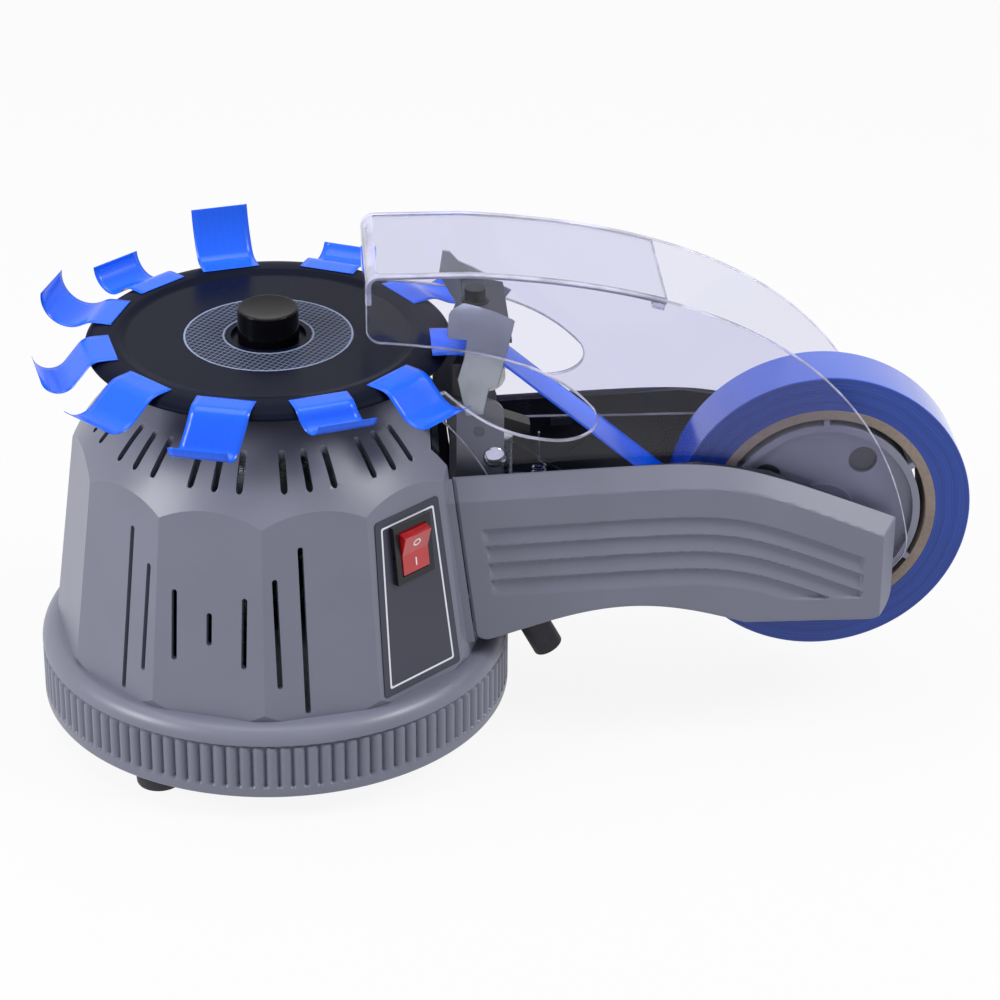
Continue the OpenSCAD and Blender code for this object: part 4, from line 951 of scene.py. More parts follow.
def tidy_outline(outline: Array, least: float = 0.05) -> Array:
    """Drops points that lie close to the one before, and runs the outline anticlockwise.

    Args:
        outline: the points, in order.
        least: the least distance to the point before.

    Returns:
        The points that are kept.
    """
    gap = np.linalg.norm(outline - np.roll(outline, 1, 0), axis=1)
    kept = outline[gap > least]
    x, y = kept.T
    area = (x * np.roll(y, -1) - np.roll(x, -1) * y).sum()
    return kept if area > 0 else kept[::-1]


def rounded_plate(
    outline: Array, thick: float, edge: float, steps: int
) -> tuple[Array, list[list[int]]]:
    """A flat plate: copies of the outline, drawn in along a quarter circle at each face.

    Args:
        outline: the closed outline in the plane.
        thick: the plate's thickness, from 0 upwards.
        edge: the radius of its edges.
        steps: points of each quarter circle.

    Returns:
        Points as first, second and depth, and the faces.
    """
    line = tidy_outline(outline)
    inward = normals_of(line)
    w = np.linspace(0.0, math.pi / 2, steps)
    draw = edge * (1 - np.concatenate([np.sin(w), np.cos(w)]))
    depth = np.concatenate([edge * (1 - np.cos(w)), thick - edge * (1 - np.sin(w))])
    rings = line[None] + inward[None] * draw[:, None, None]
    level = np.broadcast_to(depth[:, None, None], rings.shape[:2] + (1,))
    points = np.concatenate([rings, level], -1).reshape(-1, 3)
    return points, capped_tube(len(depth), len(line))


def turned_about_z(profile: Array, count: int) -> Array:
    """Carries a profile round the z axis: x and y are its radius times the turn's cosine and sine.

    Args:
        profile: rows of radius and height.
        count: steps round the circle.

    Returns:
        A grid of points, one row for each step.
    """
    w = np.linspace(0.0, 2 * math.pi, count, endpoint=False)[:, None]
    r, z = profile.T
    return np.stack([r * np.cos(w), r * np.sin(w), np.broadcast_to(z, (count, len(z)))], -1)


def smooth_step(value: Array, low: float, high: float) -> Array:
    """A soft step of an array from 0 at low to 1 at high."""
    t = np.clip((value - low) / (high - low), 0.0, 1.0)
    return t * t * (3 - 2 * t)


@dataclass
class BaseRing:
    """The ribbed ring under the body."""

    low_z: float = 9.0
    top_z: float = 37.0
    groove_r: float = 84.8
    out_r: float = 86.6
    in_r: float = 82.4
    mouth_r: float = 75.0
    wall: float = 2.4
    shoulder: float = 6.0
    edge: float = 1.6
    rib_low_z: float = 13.6
    rib_high_z: float = 30.2
    rib_share: float = 0.42
    rib_power: float = 0.8
    lip_in: float = 0.1
    lip_low: float = 0.4
    lip_high: float = 0.6
    ribs: int = 112
    steps: int = 8
    levels: int = 26

    def profile(self) -> tuple[Array, Array]:
        """The closed section of the ring.

        Returns:
            Rows of radius and height, and for each row whether the ribs shape it.
        """
        foot = arc((self.out_r - self.edge, self.low_z + self.edge), self.edge, -90, 0, 5)
        ends = self.rib_low_z - self.lip_low, self.rib_high_z + self.lip_high
        heights = np.linspace(*ends, self.levels)
        band = np.stack([np.full_like(heights, self.out_r), heights], -1)
        middle = self.out_r - self.shoulder, self.top_z - self.shoulder
        crown = arc(middle, self.shoulder, 0, 90, 9)
        under = self.top_z - self.wall
        inside = np.array([[self.mouth_r, self.top_z], [self.mouth_r, under],
                           [self.in_r, under], [self.in_r, self.low_z]])
        line = np.concatenate([foot, band, crown, inside])
        ribbed = np.zeros(len(line), bool)
        ribbed[len(foot):len(foot) + len(band)] = True
        return line, ribbed

    def build(self) -> None:
        """The section goes round the axis; between the ribs the band is sunk.

        A rib's height is 1 inside a slot-shaped outline and falls to 0 over its rounded flank: a
        power of the circle's height over the distance from the rib's middle line.
        """
        line, ribbed = self.profile()
        count = self.ribs * self.steps
        grid = turned_about_z(line, count)
        z = line[:, 1]
        pitch = 2 * math.pi * self.out_r / self.ribs
        across = ((np.arange(count) / self.steps) % 1.0 - 0.5)[:, None] * pitch
        half = pitch * self.rib_share
        mid = (self.rib_low_z + self.rib_high_z) / 2
        reach = (self.rib_high_z - self.rib_low_z) / 2 - half
        past = np.where(z > mid, np.maximum(z - mid - reach, 0.0), 0.0)[None]
        gap = np.hypot(across, past) / half
        crown = np.sqrt(np.clip(1 - gap**2, 0.0, 1.0)) ** self.rib_power
        high = smooth_step(z, self.rib_high_z + self.lip_in, self.rib_high_z + self.lip_high)
        low = smooth_step(-z, -self.rib_low_z - self.lip_in, -self.rib_low_z + self.lip_low)
        lip = np.maximum(high, low)[None]
        sunk = (self.out_r - self.groove_r) * (1 - np.maximum(crown, lip)) * ribbed[None]
        radius = np.linalg.norm(grid[..., :2], axis=-1)
        grid[..., :2] *= ((radius - sunk) / radius)[..., None]
        Piece("ribbed_ring", "base", Skin.GREY, ("base_ring",)).loop(grid)


@dataclass
class Carousel:
    """The turning disc and its knob."""

    disc_r: float = 65.5
    rim_z: float = 151.5
    dish: float = 1.2
    thick: float = 4.4
    rim_w: float = 10.5
    boss_r: float = 14.0
    boss_z: float = 130.3
    bore_r: float = 5.05
    knob_r: float = 11.0
    knob_z: float = 161.0
    knob_edge: float = 0.7
    knob_foot: float = 0.4
    bore_high: float = 1.3
    seat_z: float = 148.7
    recess_r: float = 13.5
    mark_r: Pair = (15.4, 30.6)
    mark_t: float = 0.4
    disc_steps: int = 192
    knob_steps: int = 96

    def build_disc(self) -> None:
        """A section with rounded lips goes round the axis."""
        low, rim, dish = self.rim_z - self.thick, self.rim_z, self.rim_z - self.dish
        out, inner = self.disc_r, self.disc_r - self.rim_w
        lip = arc((out - 0.8, low + 1.5), 0.8, -60, 78, 8)
        brow = bezier([(out - 1.0, low + 2.7), (out - 2.6, rim - 0.4),
                       (inner + 5.5, rim), (inner + 2.5, rim)], 12)
        fall = bezier([(inner, rim), (inner - 1.8, rim),
                       (inner - 2.6, dish), (inner - 4.8, dish)], 9)
        (mark_in, mark_out), sunk = self.mark_r, dish - self.mark_t
        body = np.array([
            [mark_out, dish], [mark_out, sunk], [mark_in, sunk], [mark_in, dish],
            [self.recess_r, dish], [self.recess_r, self.seat_z], [self.bore_r, self.seat_z],
            [self.bore_r, self.boss_z], [self.boss_r, self.boss_z], [self.boss_r, low]])
        line = np.concatenate([[[out - 2.5, low]], lip, brow, fall, body])
        piece = Piece("dished_disc", "carousel", Skin.DISC, ("carousel_disc",))
        piece.loop(turned_about_z(line, self.disc_steps))

    def build_knob(self) -> None:
        """A slightly dished top with a round edge and a bored foot go round the axis."""
        r, top, seat, edge = self.knob_r, self.knob_z, self.seat_z, self.knob_edge
        bore_z = seat + self.bore_high
        foot = np.array([[0.0, bore_z], [self.bore_r, bore_z], [self.bore_r, seat],
                         [r - self.knob_foot, seat], [r, seat + self.knob_foot]])
        crown = np.array([[r - 1.5, top - 0.05], [r - 3.0, top - 0.25],
                          [r - 6.0, top - 0.45], [0.0, top - 0.5]])
        line = np.concatenate([foot, arc((r - edge, top - edge), edge, 0, 90, 6), crown])
        piece = Piece("disc_knob_round", "carousel", Skin.KNOB, ("disc_knob",))
        piece.loop(turned_about_z(line, self.knob_steps), closed=False)

    def build(self) -> None:
        """Makes the disc and the knob."""
        self.build_disc()
        self.build_knob()


@dataclass(frozen=True)
class Strip:
    """One cut strip of tape, with its angles in degrees.

    Its middle line starts on the disc's rim, leaves it at a slope and ends in a curl.
    """

    turn: float
    slope: float
    reach: float
    sweep: float
    curl: float
    lean: float = 0.0


@dataclass
class TapeStrips:
    """The strips of tape that hang on the disc's rim."""

    hold: float = 7.3
    ease: Pair = (-2.0, 5.0)
    start_r: float = 56.0
    rest_z: float = 151.72
    wide: float = 21.2
    thick: float = 0.16
    rows: int = 60
    cols: int = 11
    strips: tuple[Strip, ...] = (
        Strip(46.8, -44, 11, 88, 15), Strip(17.2, -80, 3, 165, 15, 4),
        Strip(-15.2, -62, 14, 160, 13, -4), Strip(-46.8, -36, 12, 86, 15),
        Strip(-78.6, -50, 12, 128, 15), Strip(-108.4, -40, 2, 140, 25),
        Strip(-137, -44, 6, 130, 19), Strip(-166.3, 54, 4, 24, 17),
        Strip(157, -34, 7, 95, 13), Strip(122, -30, 8, 92, 20))

    def surface(self, strip: Strip) -> tuple[Array, Array]:
        """The strip's sheet.

        The heading eases from flat to the slope past the rim, then turns evenly through the curl's
        sweep; the running sum of the heading's direction is the middle line. The width lies across
        it, and a lean moves it aside along the way.

        Args:
            strip: the strip's numbers.

        Returns:
            A grid of points and its chart.
        """
        total = self.hold + strip.reach + strip.curl
        s = np.linspace(0.0, total, self.rows)
        ease = smooth_step(s, self.hold + self.ease[0], self.hold + self.ease[1])
        bend = np.clip((s - self.hold - strip.reach) / strip.curl, 0.0, 1.0)
        heading = np.radians(strip.slope * ease + strip.sweep * bend)
        step = total / (self.rows - 1)
        middle = (heading[:-1] + heading[1:]) / 2
        out, up = (np.concatenate([[0.0], np.cumsum(part(middle))]) * step
                   for part in (np.cos, np.sin))
        across = np.linspace(-0.5, 0.5, self.cols) * self.wide
        over = across[None] + strip.lean * smooth_step(s, self.hold, total)[:, None]
        far, z = self.start_r + out[:, None], self.rest_z + up[:, None]
        a = np.radians(strip.turn)
        x, y = far * np.sin(a) + over * np.cos(a), -far * np.cos(a) + over * np.sin(a)
        grid = np.stack(np.broadcast_arrays(x, y, z), -1)
        return grid, film_chart(s, across)

    def build(self) -> None:
        """Lays all the strips in one piece and gives the film its thickness."""
        sheets = [self.surface(strip) for strip in self.strips]
        quads, size = grid_quads(self.rows, self.cols), self.rows * self.cols
        faces = np.concatenate([quads + i * size for i in range(len(sheets))])
        points, chart = (np.concatenate(parts) for parts in zip(*sheets))
        piece = Piece("cut_strips", "carousel", Skin.TAPE, ("tape_strips",), 60.0, self.thick)
        piece.make(points, faces, chart)


@dataclass
class TapeRoll:
    """The wound roll and the run of tape from it to the disc."""

    out_r: float = 54.5
    in_r: float = 41.9
    near_y: float = -24.2
    far_y: float = -1.2
    inset: float = 0.1
    steps: int = 180
    roller: Pair = (77.4, 143.4)
    wrap_r: float = 6.5
    wrap_end: float = 78.0
    run_t: float = 0.16
    rim: Pair = (57.5, 152.0)
    flat_x: float = 66.5
    peel: float = 171.0
    hug: float = 26.0
    hug_gap: float = 0.14

    def build_roll(self) -> None:
        """A rounded section goes round the roll's axle, its sides stepped by fine uneven layers.

        The layers are the sum of a coarse and a fine sine of the radius.
        """
        out, near_y, far_y = self.out_r, self.near_y, self.far_y
        r = np.linspace(self.in_r, out - 0.5, 26)
        layers = 0.05 * np.sin(r * 9.0) + 0.04 * np.sin(r * 23.0 + 1.0)
        near = np.stack([r, near_y + self.inset + layers], -1)
        far = np.stack([r[::-1], far_y - self.inset - layers[::-1]], -1)
        rim = np.array([[out - self.inset, near_y + 0.35], [out, near_y + 0.9],
                        [out, far_y - 0.9], [out - self.inset, far_y - 0.35]])
        grid = turned_about_z(np.concatenate([near, rim, far]), self.steps)
        grid = np.stack([grid[..., 0] + AXLE[0], grid[..., 2], grid[..., 1] + AXLE[1]], -1)
        Piece("wound_roll", "roll", Skin.ROLL, ("tape_roll",), 40.0).loop(grid)

    def build_run(self) -> None:
        """The film leaves the roll's side, runs to the roller, round it and onto the disc's rim.

        The path is an arc round the roll, the straight line that touches the roller, an arc round
        the roller and a flat end; the width lies across it.
        """
        hug = arc(AXLE, self.out_r + self.hug_gap, self.peel + self.hug, self.peel, 12)
        peel, hub = hug[-1], np.array(self.roller)
        way = hub - peel
        dip = math.degrees(math.asin(self.wrap_r / float(np.linalg.norm(way))))
        start = math.degrees(math.atan2(way[1], way[0])) - 90 - dip
        wrap = arc(hub, self.wrap_r, start, self.wrap_end, 14)
        t = np.linspace(0.02, 1.0, 30)[:, None]
        end = np.array([[self.flat_x, self.rim[1]], list(self.rim)])
        line = np.concatenate([hug, peel + (wrap[0] - peel) * t, wrap[1:], end])
        y = np.linspace(self.near_y, self.far_y, 9)
        grid = np.stack(np.broadcast_arrays(line[:, :1], y[None], line[:, 1:]), -1)
        s = np.concatenate([[0.0], np.cumsum(np.linalg.norm(np.diff(line, axis=0), axis=1))])
        piece = Piece("running_tape", "base", Skin.TAPE, ("tape_run",), 60.0, self.run_t)
        piece.make(grid, grid_quads(len(line), len(y)), film_chart(s, y))

    def build(self) -> None:
        """Makes the roll and the run."""
        self.build_roll()
        self.build_run()


@dataclass
class CutterHead:
    """The near guide plate of the head, whose top is rolled back over the tape."""

    near_y: float = -25.65
    thick: float = 1.03
    edge: float = 0.25
    roll_z: float = 161.5
    roll_r: float = 10.0
    rows: int = 48
    cols: int = 7
    left: tuple[Pair, ...] = (
        (129, 69), (143, 66.2), (150, 68.4), (158.6, 69.6), (159.4, 63.0), (160.2, 62.6),
        (168.2, 63.3), (169.8, 64.2), (172.4, 68.2))
    right: tuple[Pair, ...] = (
        (129, 75.5), (139.3, 77.5), (139.7, 80.6), (165.3, 86.4), (165.9, 85.8), (168.8, 79.7),
        (170.8, 74.4), (172.4, 69.4))

    def heights(self) -> Array:
        """The rows' places up the flat plate: each corner of its outline, and even steps."""
        corners = [z for z, _ in self.left + self.right]
        even = np.linspace(self.left[0][0], self.left[-1][0], self.rows)
        return np.unique(np.concatenate([corners, even]))

    def build(self) -> None:
        """The flat outline is bent: past the roll's height, a place up is an angle on a circle.

        Each row is a section with eased edges between the left and right outlines. At the angle t
        past the roll's height, the face lies at r * (1 - cos t) behind the plate and r * sin t
        above that height, and depth is laid along the circle's radius.
        """
        up = self.heights()
        left, right = (np.interp(up, *np.array(side).T) for side in (self.left, self.right))
        e, t, cols = self.edge, self.thick, self.cols
        across = np.linspace(0.0, 1.0, cols)
        ease = 1 - 2 * across
        share = np.concatenate([[0.0], across, [1.0, 1.0], across[::-1], [0.0]])
        inset = np.concatenate([[0.0], ease, [0.0, 0.0], ease[::-1], [0.0]]) * e
        depth = np.concatenate([[e], np.zeros(cols), [e, t - e], np.full(cols, t), [t - e]])
        x = left[:, None] + (right - left)[:, None] * share[None] + inset[None]
        angle = np.maximum(up - self.roll_z, 0.0)[:, None] / self.roll_r
        foot = np.minimum(up, self.roll_z)[:, None]
        y = self.near_y + self.roll_r * (1 - np.cos(angle)) + depth[None] * np.cos(angle)
        z = foot + self.roll_r * np.sin(angle) - depth[None] * np.sin(angle)
        grid = np.stack(np.broadcast_arrays(x, y, z), -1)
        piece = Piece("rolled_guide_plate", "base", Skin.PLATE, ("near_guide_plate",))
        piece.make(grid, capped_tube(*x.shape))


@dataclass
class Guard:
    """The clear guard: two sides and a bent roof between them."""

    half: float = 28.5
    thick: float = 2.2
    top_z: float = 184.6
    front_x: float = 34.0
    lip_z: float = 173.0
    roof_x: float = 141.0
    roof_gap: float = 0.02
    pivot: Pair = (220.5, 73.0)
    axle_r: float = 8.4
    low_z: float = 101.0
    corner: float = 5.0
    front_r: float = 6.0
    tail: float = 10.0
    edge: float = 0.7
    edge_steps: int = 4
    curve_steps: int = 50
    end_share: float = 0.78
    # share of painted highlight and shade on the roof's front bend
    bend_painted_rim: float = 0.68
    stop_long: float = 4.6
    stop_wide: float = 3.4
    stop_high: float = 2.2
    stop_gap: float = 0.1
    stop_edge: float = 0.3
    # share of painted highlight and shade over the whole clear stop
    stop_painted_rim: float = 0.5

    def curve(self) -> Array:
        """The line of the guard's back from the front corner to the pivot."""
        end = self.pivot[0] + 10, self.pivot[1] + 3
        corners = [(70, self.top_z), (135, self.top_z - 4.6), (216, 162), end]
        return bezier(corners, self.curve_steps)

    def brow(self) -> Array:
        """The round corner between the guard's front and its back."""
        middle = self.front_x + self.corner, self.top_z - self.corner
        return arc(middle, self.corner, 180, 90, 9)

    def side_outline(self) -> Array:
        """The closed outline of a side: curves and arcs, with a deep notch at the front.

        Returns:
            Rows of x and z.
        """
        front, (axle_x, axle_z) = self.front_x, AXLE
        tongue = bezier([(57.8, 130), (63, 125.6), (71, 117), (79, self.low_z)], 12)[::-1]
        notch = [
            bezier([(98, 119.6), (84, 121.6), (74, 127), (61.8, 139.4)], 14)[::-1],
            bezier([(114.5, 131), (119, 123.5), (110, 117.6), (98, 119.6)], 14)[::-1],
            bezier([(front + 7, 158.4), (75, 155), (98, 150), (114.5, 131)], 20)[::-1]]
        return np.concatenate([
            self.brow(), self.curve(), arc(self.pivot, self.tail, 0, -205, 26),
            [[axle_x + self.axle_r, axle_z + 2.2]], arc(AXLE, self.axle_r, 45, 115, 9),
            [[axle_x - 18, self.low_z]], tongue, [[58.8, 138.4]], *notch,
            arc((front + self.front_r, 164.4), self.front_r, -90, -170, 9)])

    def build_side(self, name: str, node: str, near: bool) -> None:
        """A plate of the side's outline with polished, rounded edges.

        Args:
            name: the piece's name.
            node: the CAD node that it replaces.
            near: whether it is the side towards -Y.
        """
        flat, faces = rounded_plate(self.side_outline(), self.thick, self.edge, self.edge_steps)
        x, z, depth = flat.T
        points = np.stack([x, -self.half + depth if near else self.half - depth, z], -1)
        skin_deep = 1e-4
        # rim is 1 on the rounded edges, where the clear finish paints highlight and shade
        rim = ((depth > skin_deep) & (depth < self.thick - skin_deep)).astype(float)
        Piece(name, "guard", Skin.CLEAR, (node,)).make(points, faces, edge_chart(rim))

    def build_roof(self) -> None:
        """A strip with rounded edges is carried along the guard's back and down its front.

        The section's depth is laid along the path's inward normal, and its width across the guard.
        """
        front, back = self.front_x, self.curve()
        back = back[back[:, 0] < self.roof_x]
        lip = [[front, self.lip_z], [front, self.lip_z + self.edge], [front, self.lip_z + 3.0]]
        near_end = back[-1:] * self.end_share + back[-2:-1] * (1 - self.end_share)
        line = np.concatenate([lip, self.brow(), back[:-1], near_end, back[-1:]])
        ahead = np.gradient(line, axis=0)
        ahead /= np.linalg.norm(ahead, axis=1)[:, None]
        inward = np.stack([ahead[:, 1], -ahead[:, 0]], -1)
        wide = self.half - self.thick - self.roof_gap
        section = soft_box((wide, wide), (0.0, self.thick), self.edge, self.edge_steps)
        x, z = (line[:, None, i] + inward[:, None, i] * section[None, :, 1] for i in (0, 1))
        grid = np.stack(np.broadcast_arrays(x, section[None, :, 0], z), -1)
        flats = self.edge_steps * np.array([1, 1, 3, 3]) - (1, 0, 1, 0)
        # rim: 1 on the roof's rounded edges and ends, for painted highlight and shade
        rim = np.ones(x.shape)
        rim[1:-1, flats] = 0.0
        bend = (line[:, 0] < front + self.corner) & (line[:, 1] > self.top_z - self.corner)
        rim[bend] = np.maximum(rim[bend], self.bend_painted_rim)
        piece = Piece("clear_roof", "guard", Skin.CLEAR, ("guard_roof",))
        piece.make(grid, capped_tube(*x.shape), edge_chart(rim))
        self.build_stop(line[-1], ahead[-1], inward[-1], wide)

    def build_stop(self, end: Array, ahead: Array, inward: Array, wide: float) -> None:
        """A small clear block stands under the roof's end, against the near side.

        Args:
            end: the roof's last point.
            ahead, inward: the roof's direction there, and the one to its inside.
            wide: half of the roof's width.
        """
        along = -self.stop_long, -self.stop_gap
        outline = oblong(along, (-wide + self.stop_gap, -wide + self.stop_wide))
        flat, faces = rounded_plate(outline, self.stop_high, self.stop_edge, 3)
        spot = end + flat[:, :1] * ahead + (flat[:, 2:] + self.thick) * inward
        points = np.stack([spot[:, 0], flat[:, 1], spot[:, 1]], -1)
        # the whole stop takes part of the painted edge highlight and shade
        chart = edge_chart(np.full(len(points), self.stop_painted_rim))
        Piece("clear_stop", "guard", Skin.CLEAR).make(points, faces, chart)

    def build(self) -> None:
        """Makes both sides and the roof."""
        self.build_side("clear_near_side", "guard_near_side", True)
        self.build_side("clear_far_side", "guard_far_side", False)
        self.build_roof()


@dataclass
class ArmCovers:
    """The grooved covers on both sides of the arm."""

    back_y: float = 32.0
    out_y: float = 38.0
    root: Pair = (64.2, 107.1)
    lean: float = 8.2
    low_z: float = 43.0
    rise: float = 4.1
    bend_x: float = 152.8
    bend_soft: float = 4.5
    end_x: float = 224.8
    nose_z: float = 86.8
    tail_z: float = 47.3
    fall: float = 0.433
    arch: tuple[float, float, float] = (77.0, 171.0, 9.9)
    arch_power: float = 1.12
    corner: float = 9.0
    heel: float = 4.0
    round_r: float = 1.5
    root_round: float = 0.6
    chamfer: float = 7.0
    end_chamfer: float = 4.9
    end_rise: float = 0.2
    least: float = 0.05
    louvres: int = 4
    louvre_top: float = 18.3
    louvre_step: float = 7.0
    louvre_depth: float = 1.8
    louvre_lean: float = 0.16
    louvre_lip: float = 0.16
    louvre_run: float = 0.8
    louvre_soft: float = 0.5
    louvre_ends: Pair = (75.0, 213.0)
    louvre_low: Pair = (56.6, 57.6)
    rows: int = 118
    cols: int = 190
    packing: float = 0.999

    def top(self, x: Array) -> Array:
        """Height of the top edge: a soft lesser of two straight lines, joined by a wide bend.

        Args:
            x: places along the arm.

        Returns:
            The heights.
        """
        start, k = self.root[0], self.bend_soft
        rising = self.root[1] + self.rise * (x - start) / (self.bend_x - start)
        falling = self.nose_z + (self.end_x - x) * self.fall
        return -k * np.logaddexp(-rising / k, -falling / k)

    def bottom(self, x: Array) -> Array:
        """Height of the lower edge: half a sine wave, fuller towards the end, with round corners.

        Args:
            x: places along the arm.

        Returns:
            The heights.
        """
        start, stop, rise = self.arch
        t = np.clip((x - start) / (stop - start), 0.0, 1.0)
        arch = rise * np.sin(math.pi * t**self.arch_power)
        line = self.low_z + (self.tail_z - self.low_z) * t + arch
        heel = self.rounding(x - self.root[0] - self.lean, self.heel)
        return line + self.rounding(self.end_x - x, self.corner) + heel

    def rounding(self, gap: Array, r: float) -> Array:
        """How far a round edge of radius r falls at a distance from the edge: a quarter circle."""
        short = np.clip(r - gap, 0.0, r)
        return r - np.sqrt(r**2 - short**2)

    def sunk(self, x: Array, z: Array, down: Array) -> Array:
        """The louvres: ramps that start deep under lines at even distances below the top edge.

        Args:
            x, z: places along and up the face.
            down: distances below the top edge.

        Returns:
            The depth of the louvres at each place.
        """
        soft, (start, end) = self.louvre_soft, self.louvre_ends
        start = start + (down - self.louvre_top) * self.louvre_lean
        inside = smooth_step(x, start - soft, start + soft)
        inside = inside * smooth_step(-x, -end - soft, -end + soft)
        inside = inside * smooth_step(z, *self.louvre_low)
        phase = (down - self.louvre_top) / self.louvre_step
        part = phase - np.floor(phase)
        ramp = smooth_step(part, 0.0, self.louvre_lip) * np.clip((1 - part) / self.louvre_run, 0, 1)
        ramp = np.where((phase > 0) & (phase < self.louvres), ramp, 0.0)
        return self.louvre_depth * ramp * inside

    def face(self) -> Array:
        """The outer face as a height over the arm's side.

        The height is the least of the full thickness, the chamfer under the top edge and the
        chamfer at the end, less the louvres and the rounded edges.

        Returns:
            A grid of points, with rows up and columns along.
        """
        u = np.linspace(0.0, 1.0, self.cols)[None]
        t = np.linspace(0.0, 1.0, self.rows)[:, None]
        start = self.root[0] + self.lean
        run = self.end_x - start
        base_x = start + run * (np.sin(u * math.pi / 2 * self.packing) + u) / 2
        low, high = self.bottom(base_x), self.top(base_x)
        z = low + (high - low) * t
        slide = self.lean * (z - self.low_z) / (self.root[1] - self.low_z)
        x = base_x - slide * (self.end_x - base_x) / run
        high = self.top(x)
        full = self.out_y - self.back_y
        height = np.minimum(full, full * (high - z) / self.chamfer)
        height = np.minimum(height, full * (self.end_x - x) / self.end_chamfer + self.end_rise)
        height = height - self.sunk(x, z, high - z)
        foot = self.rounding(t * (high - low), self.round_r)
        root = self.rounding(x - x[:, :1], self.round_r) * self.root_round
        height = np.maximum(height - np.maximum(foot, root), self.least)
        return np.stack([x, -(self.back_y + height), z], -1)

    def build_cover(self, name: str, node: str, near: bool) -> None:
        """Closes the face with a flat back.

        Args:
            name: the piece's name.
            node: the CAD node that it replaces.
            near: whether it is the side towards -Y.
        """
        grid = self.face()
        rows, cols = grid.shape[:2]
        number = np.arange(rows * cols).reshape(rows, cols)
        rim = np.concatenate([number[0, :-1], number[:-1, -1], number[-1, :0:-1], number[:0:-1, 0]])
        flat = grid.reshape(-1, 3)
        back = flat[rim].copy()
        back[:, 1] = -self.back_y
        ring = np.arange(len(rim)) + rows * cols
        walls = np.stack([rim, ring, np.roll(ring, -1), np.roll(rim, -1)], -1)
        faces = grid_quads(rows, cols).tolist() + walls.tolist() + [ring.tolist()]
        points = np.concatenate([flat, back])
        if not near:
            points[:, 1] *= -1
        Piece(name, "base", Skin.GREY, (node,), 24.0).make(points, faces)

    def build(self) -> None:
        """Makes both covers."""
        self.build_cover("near_cover_moulding", "near_arm_cover", True)
        self.build_cover("far_cover_moulding", "far_arm_cover", False)


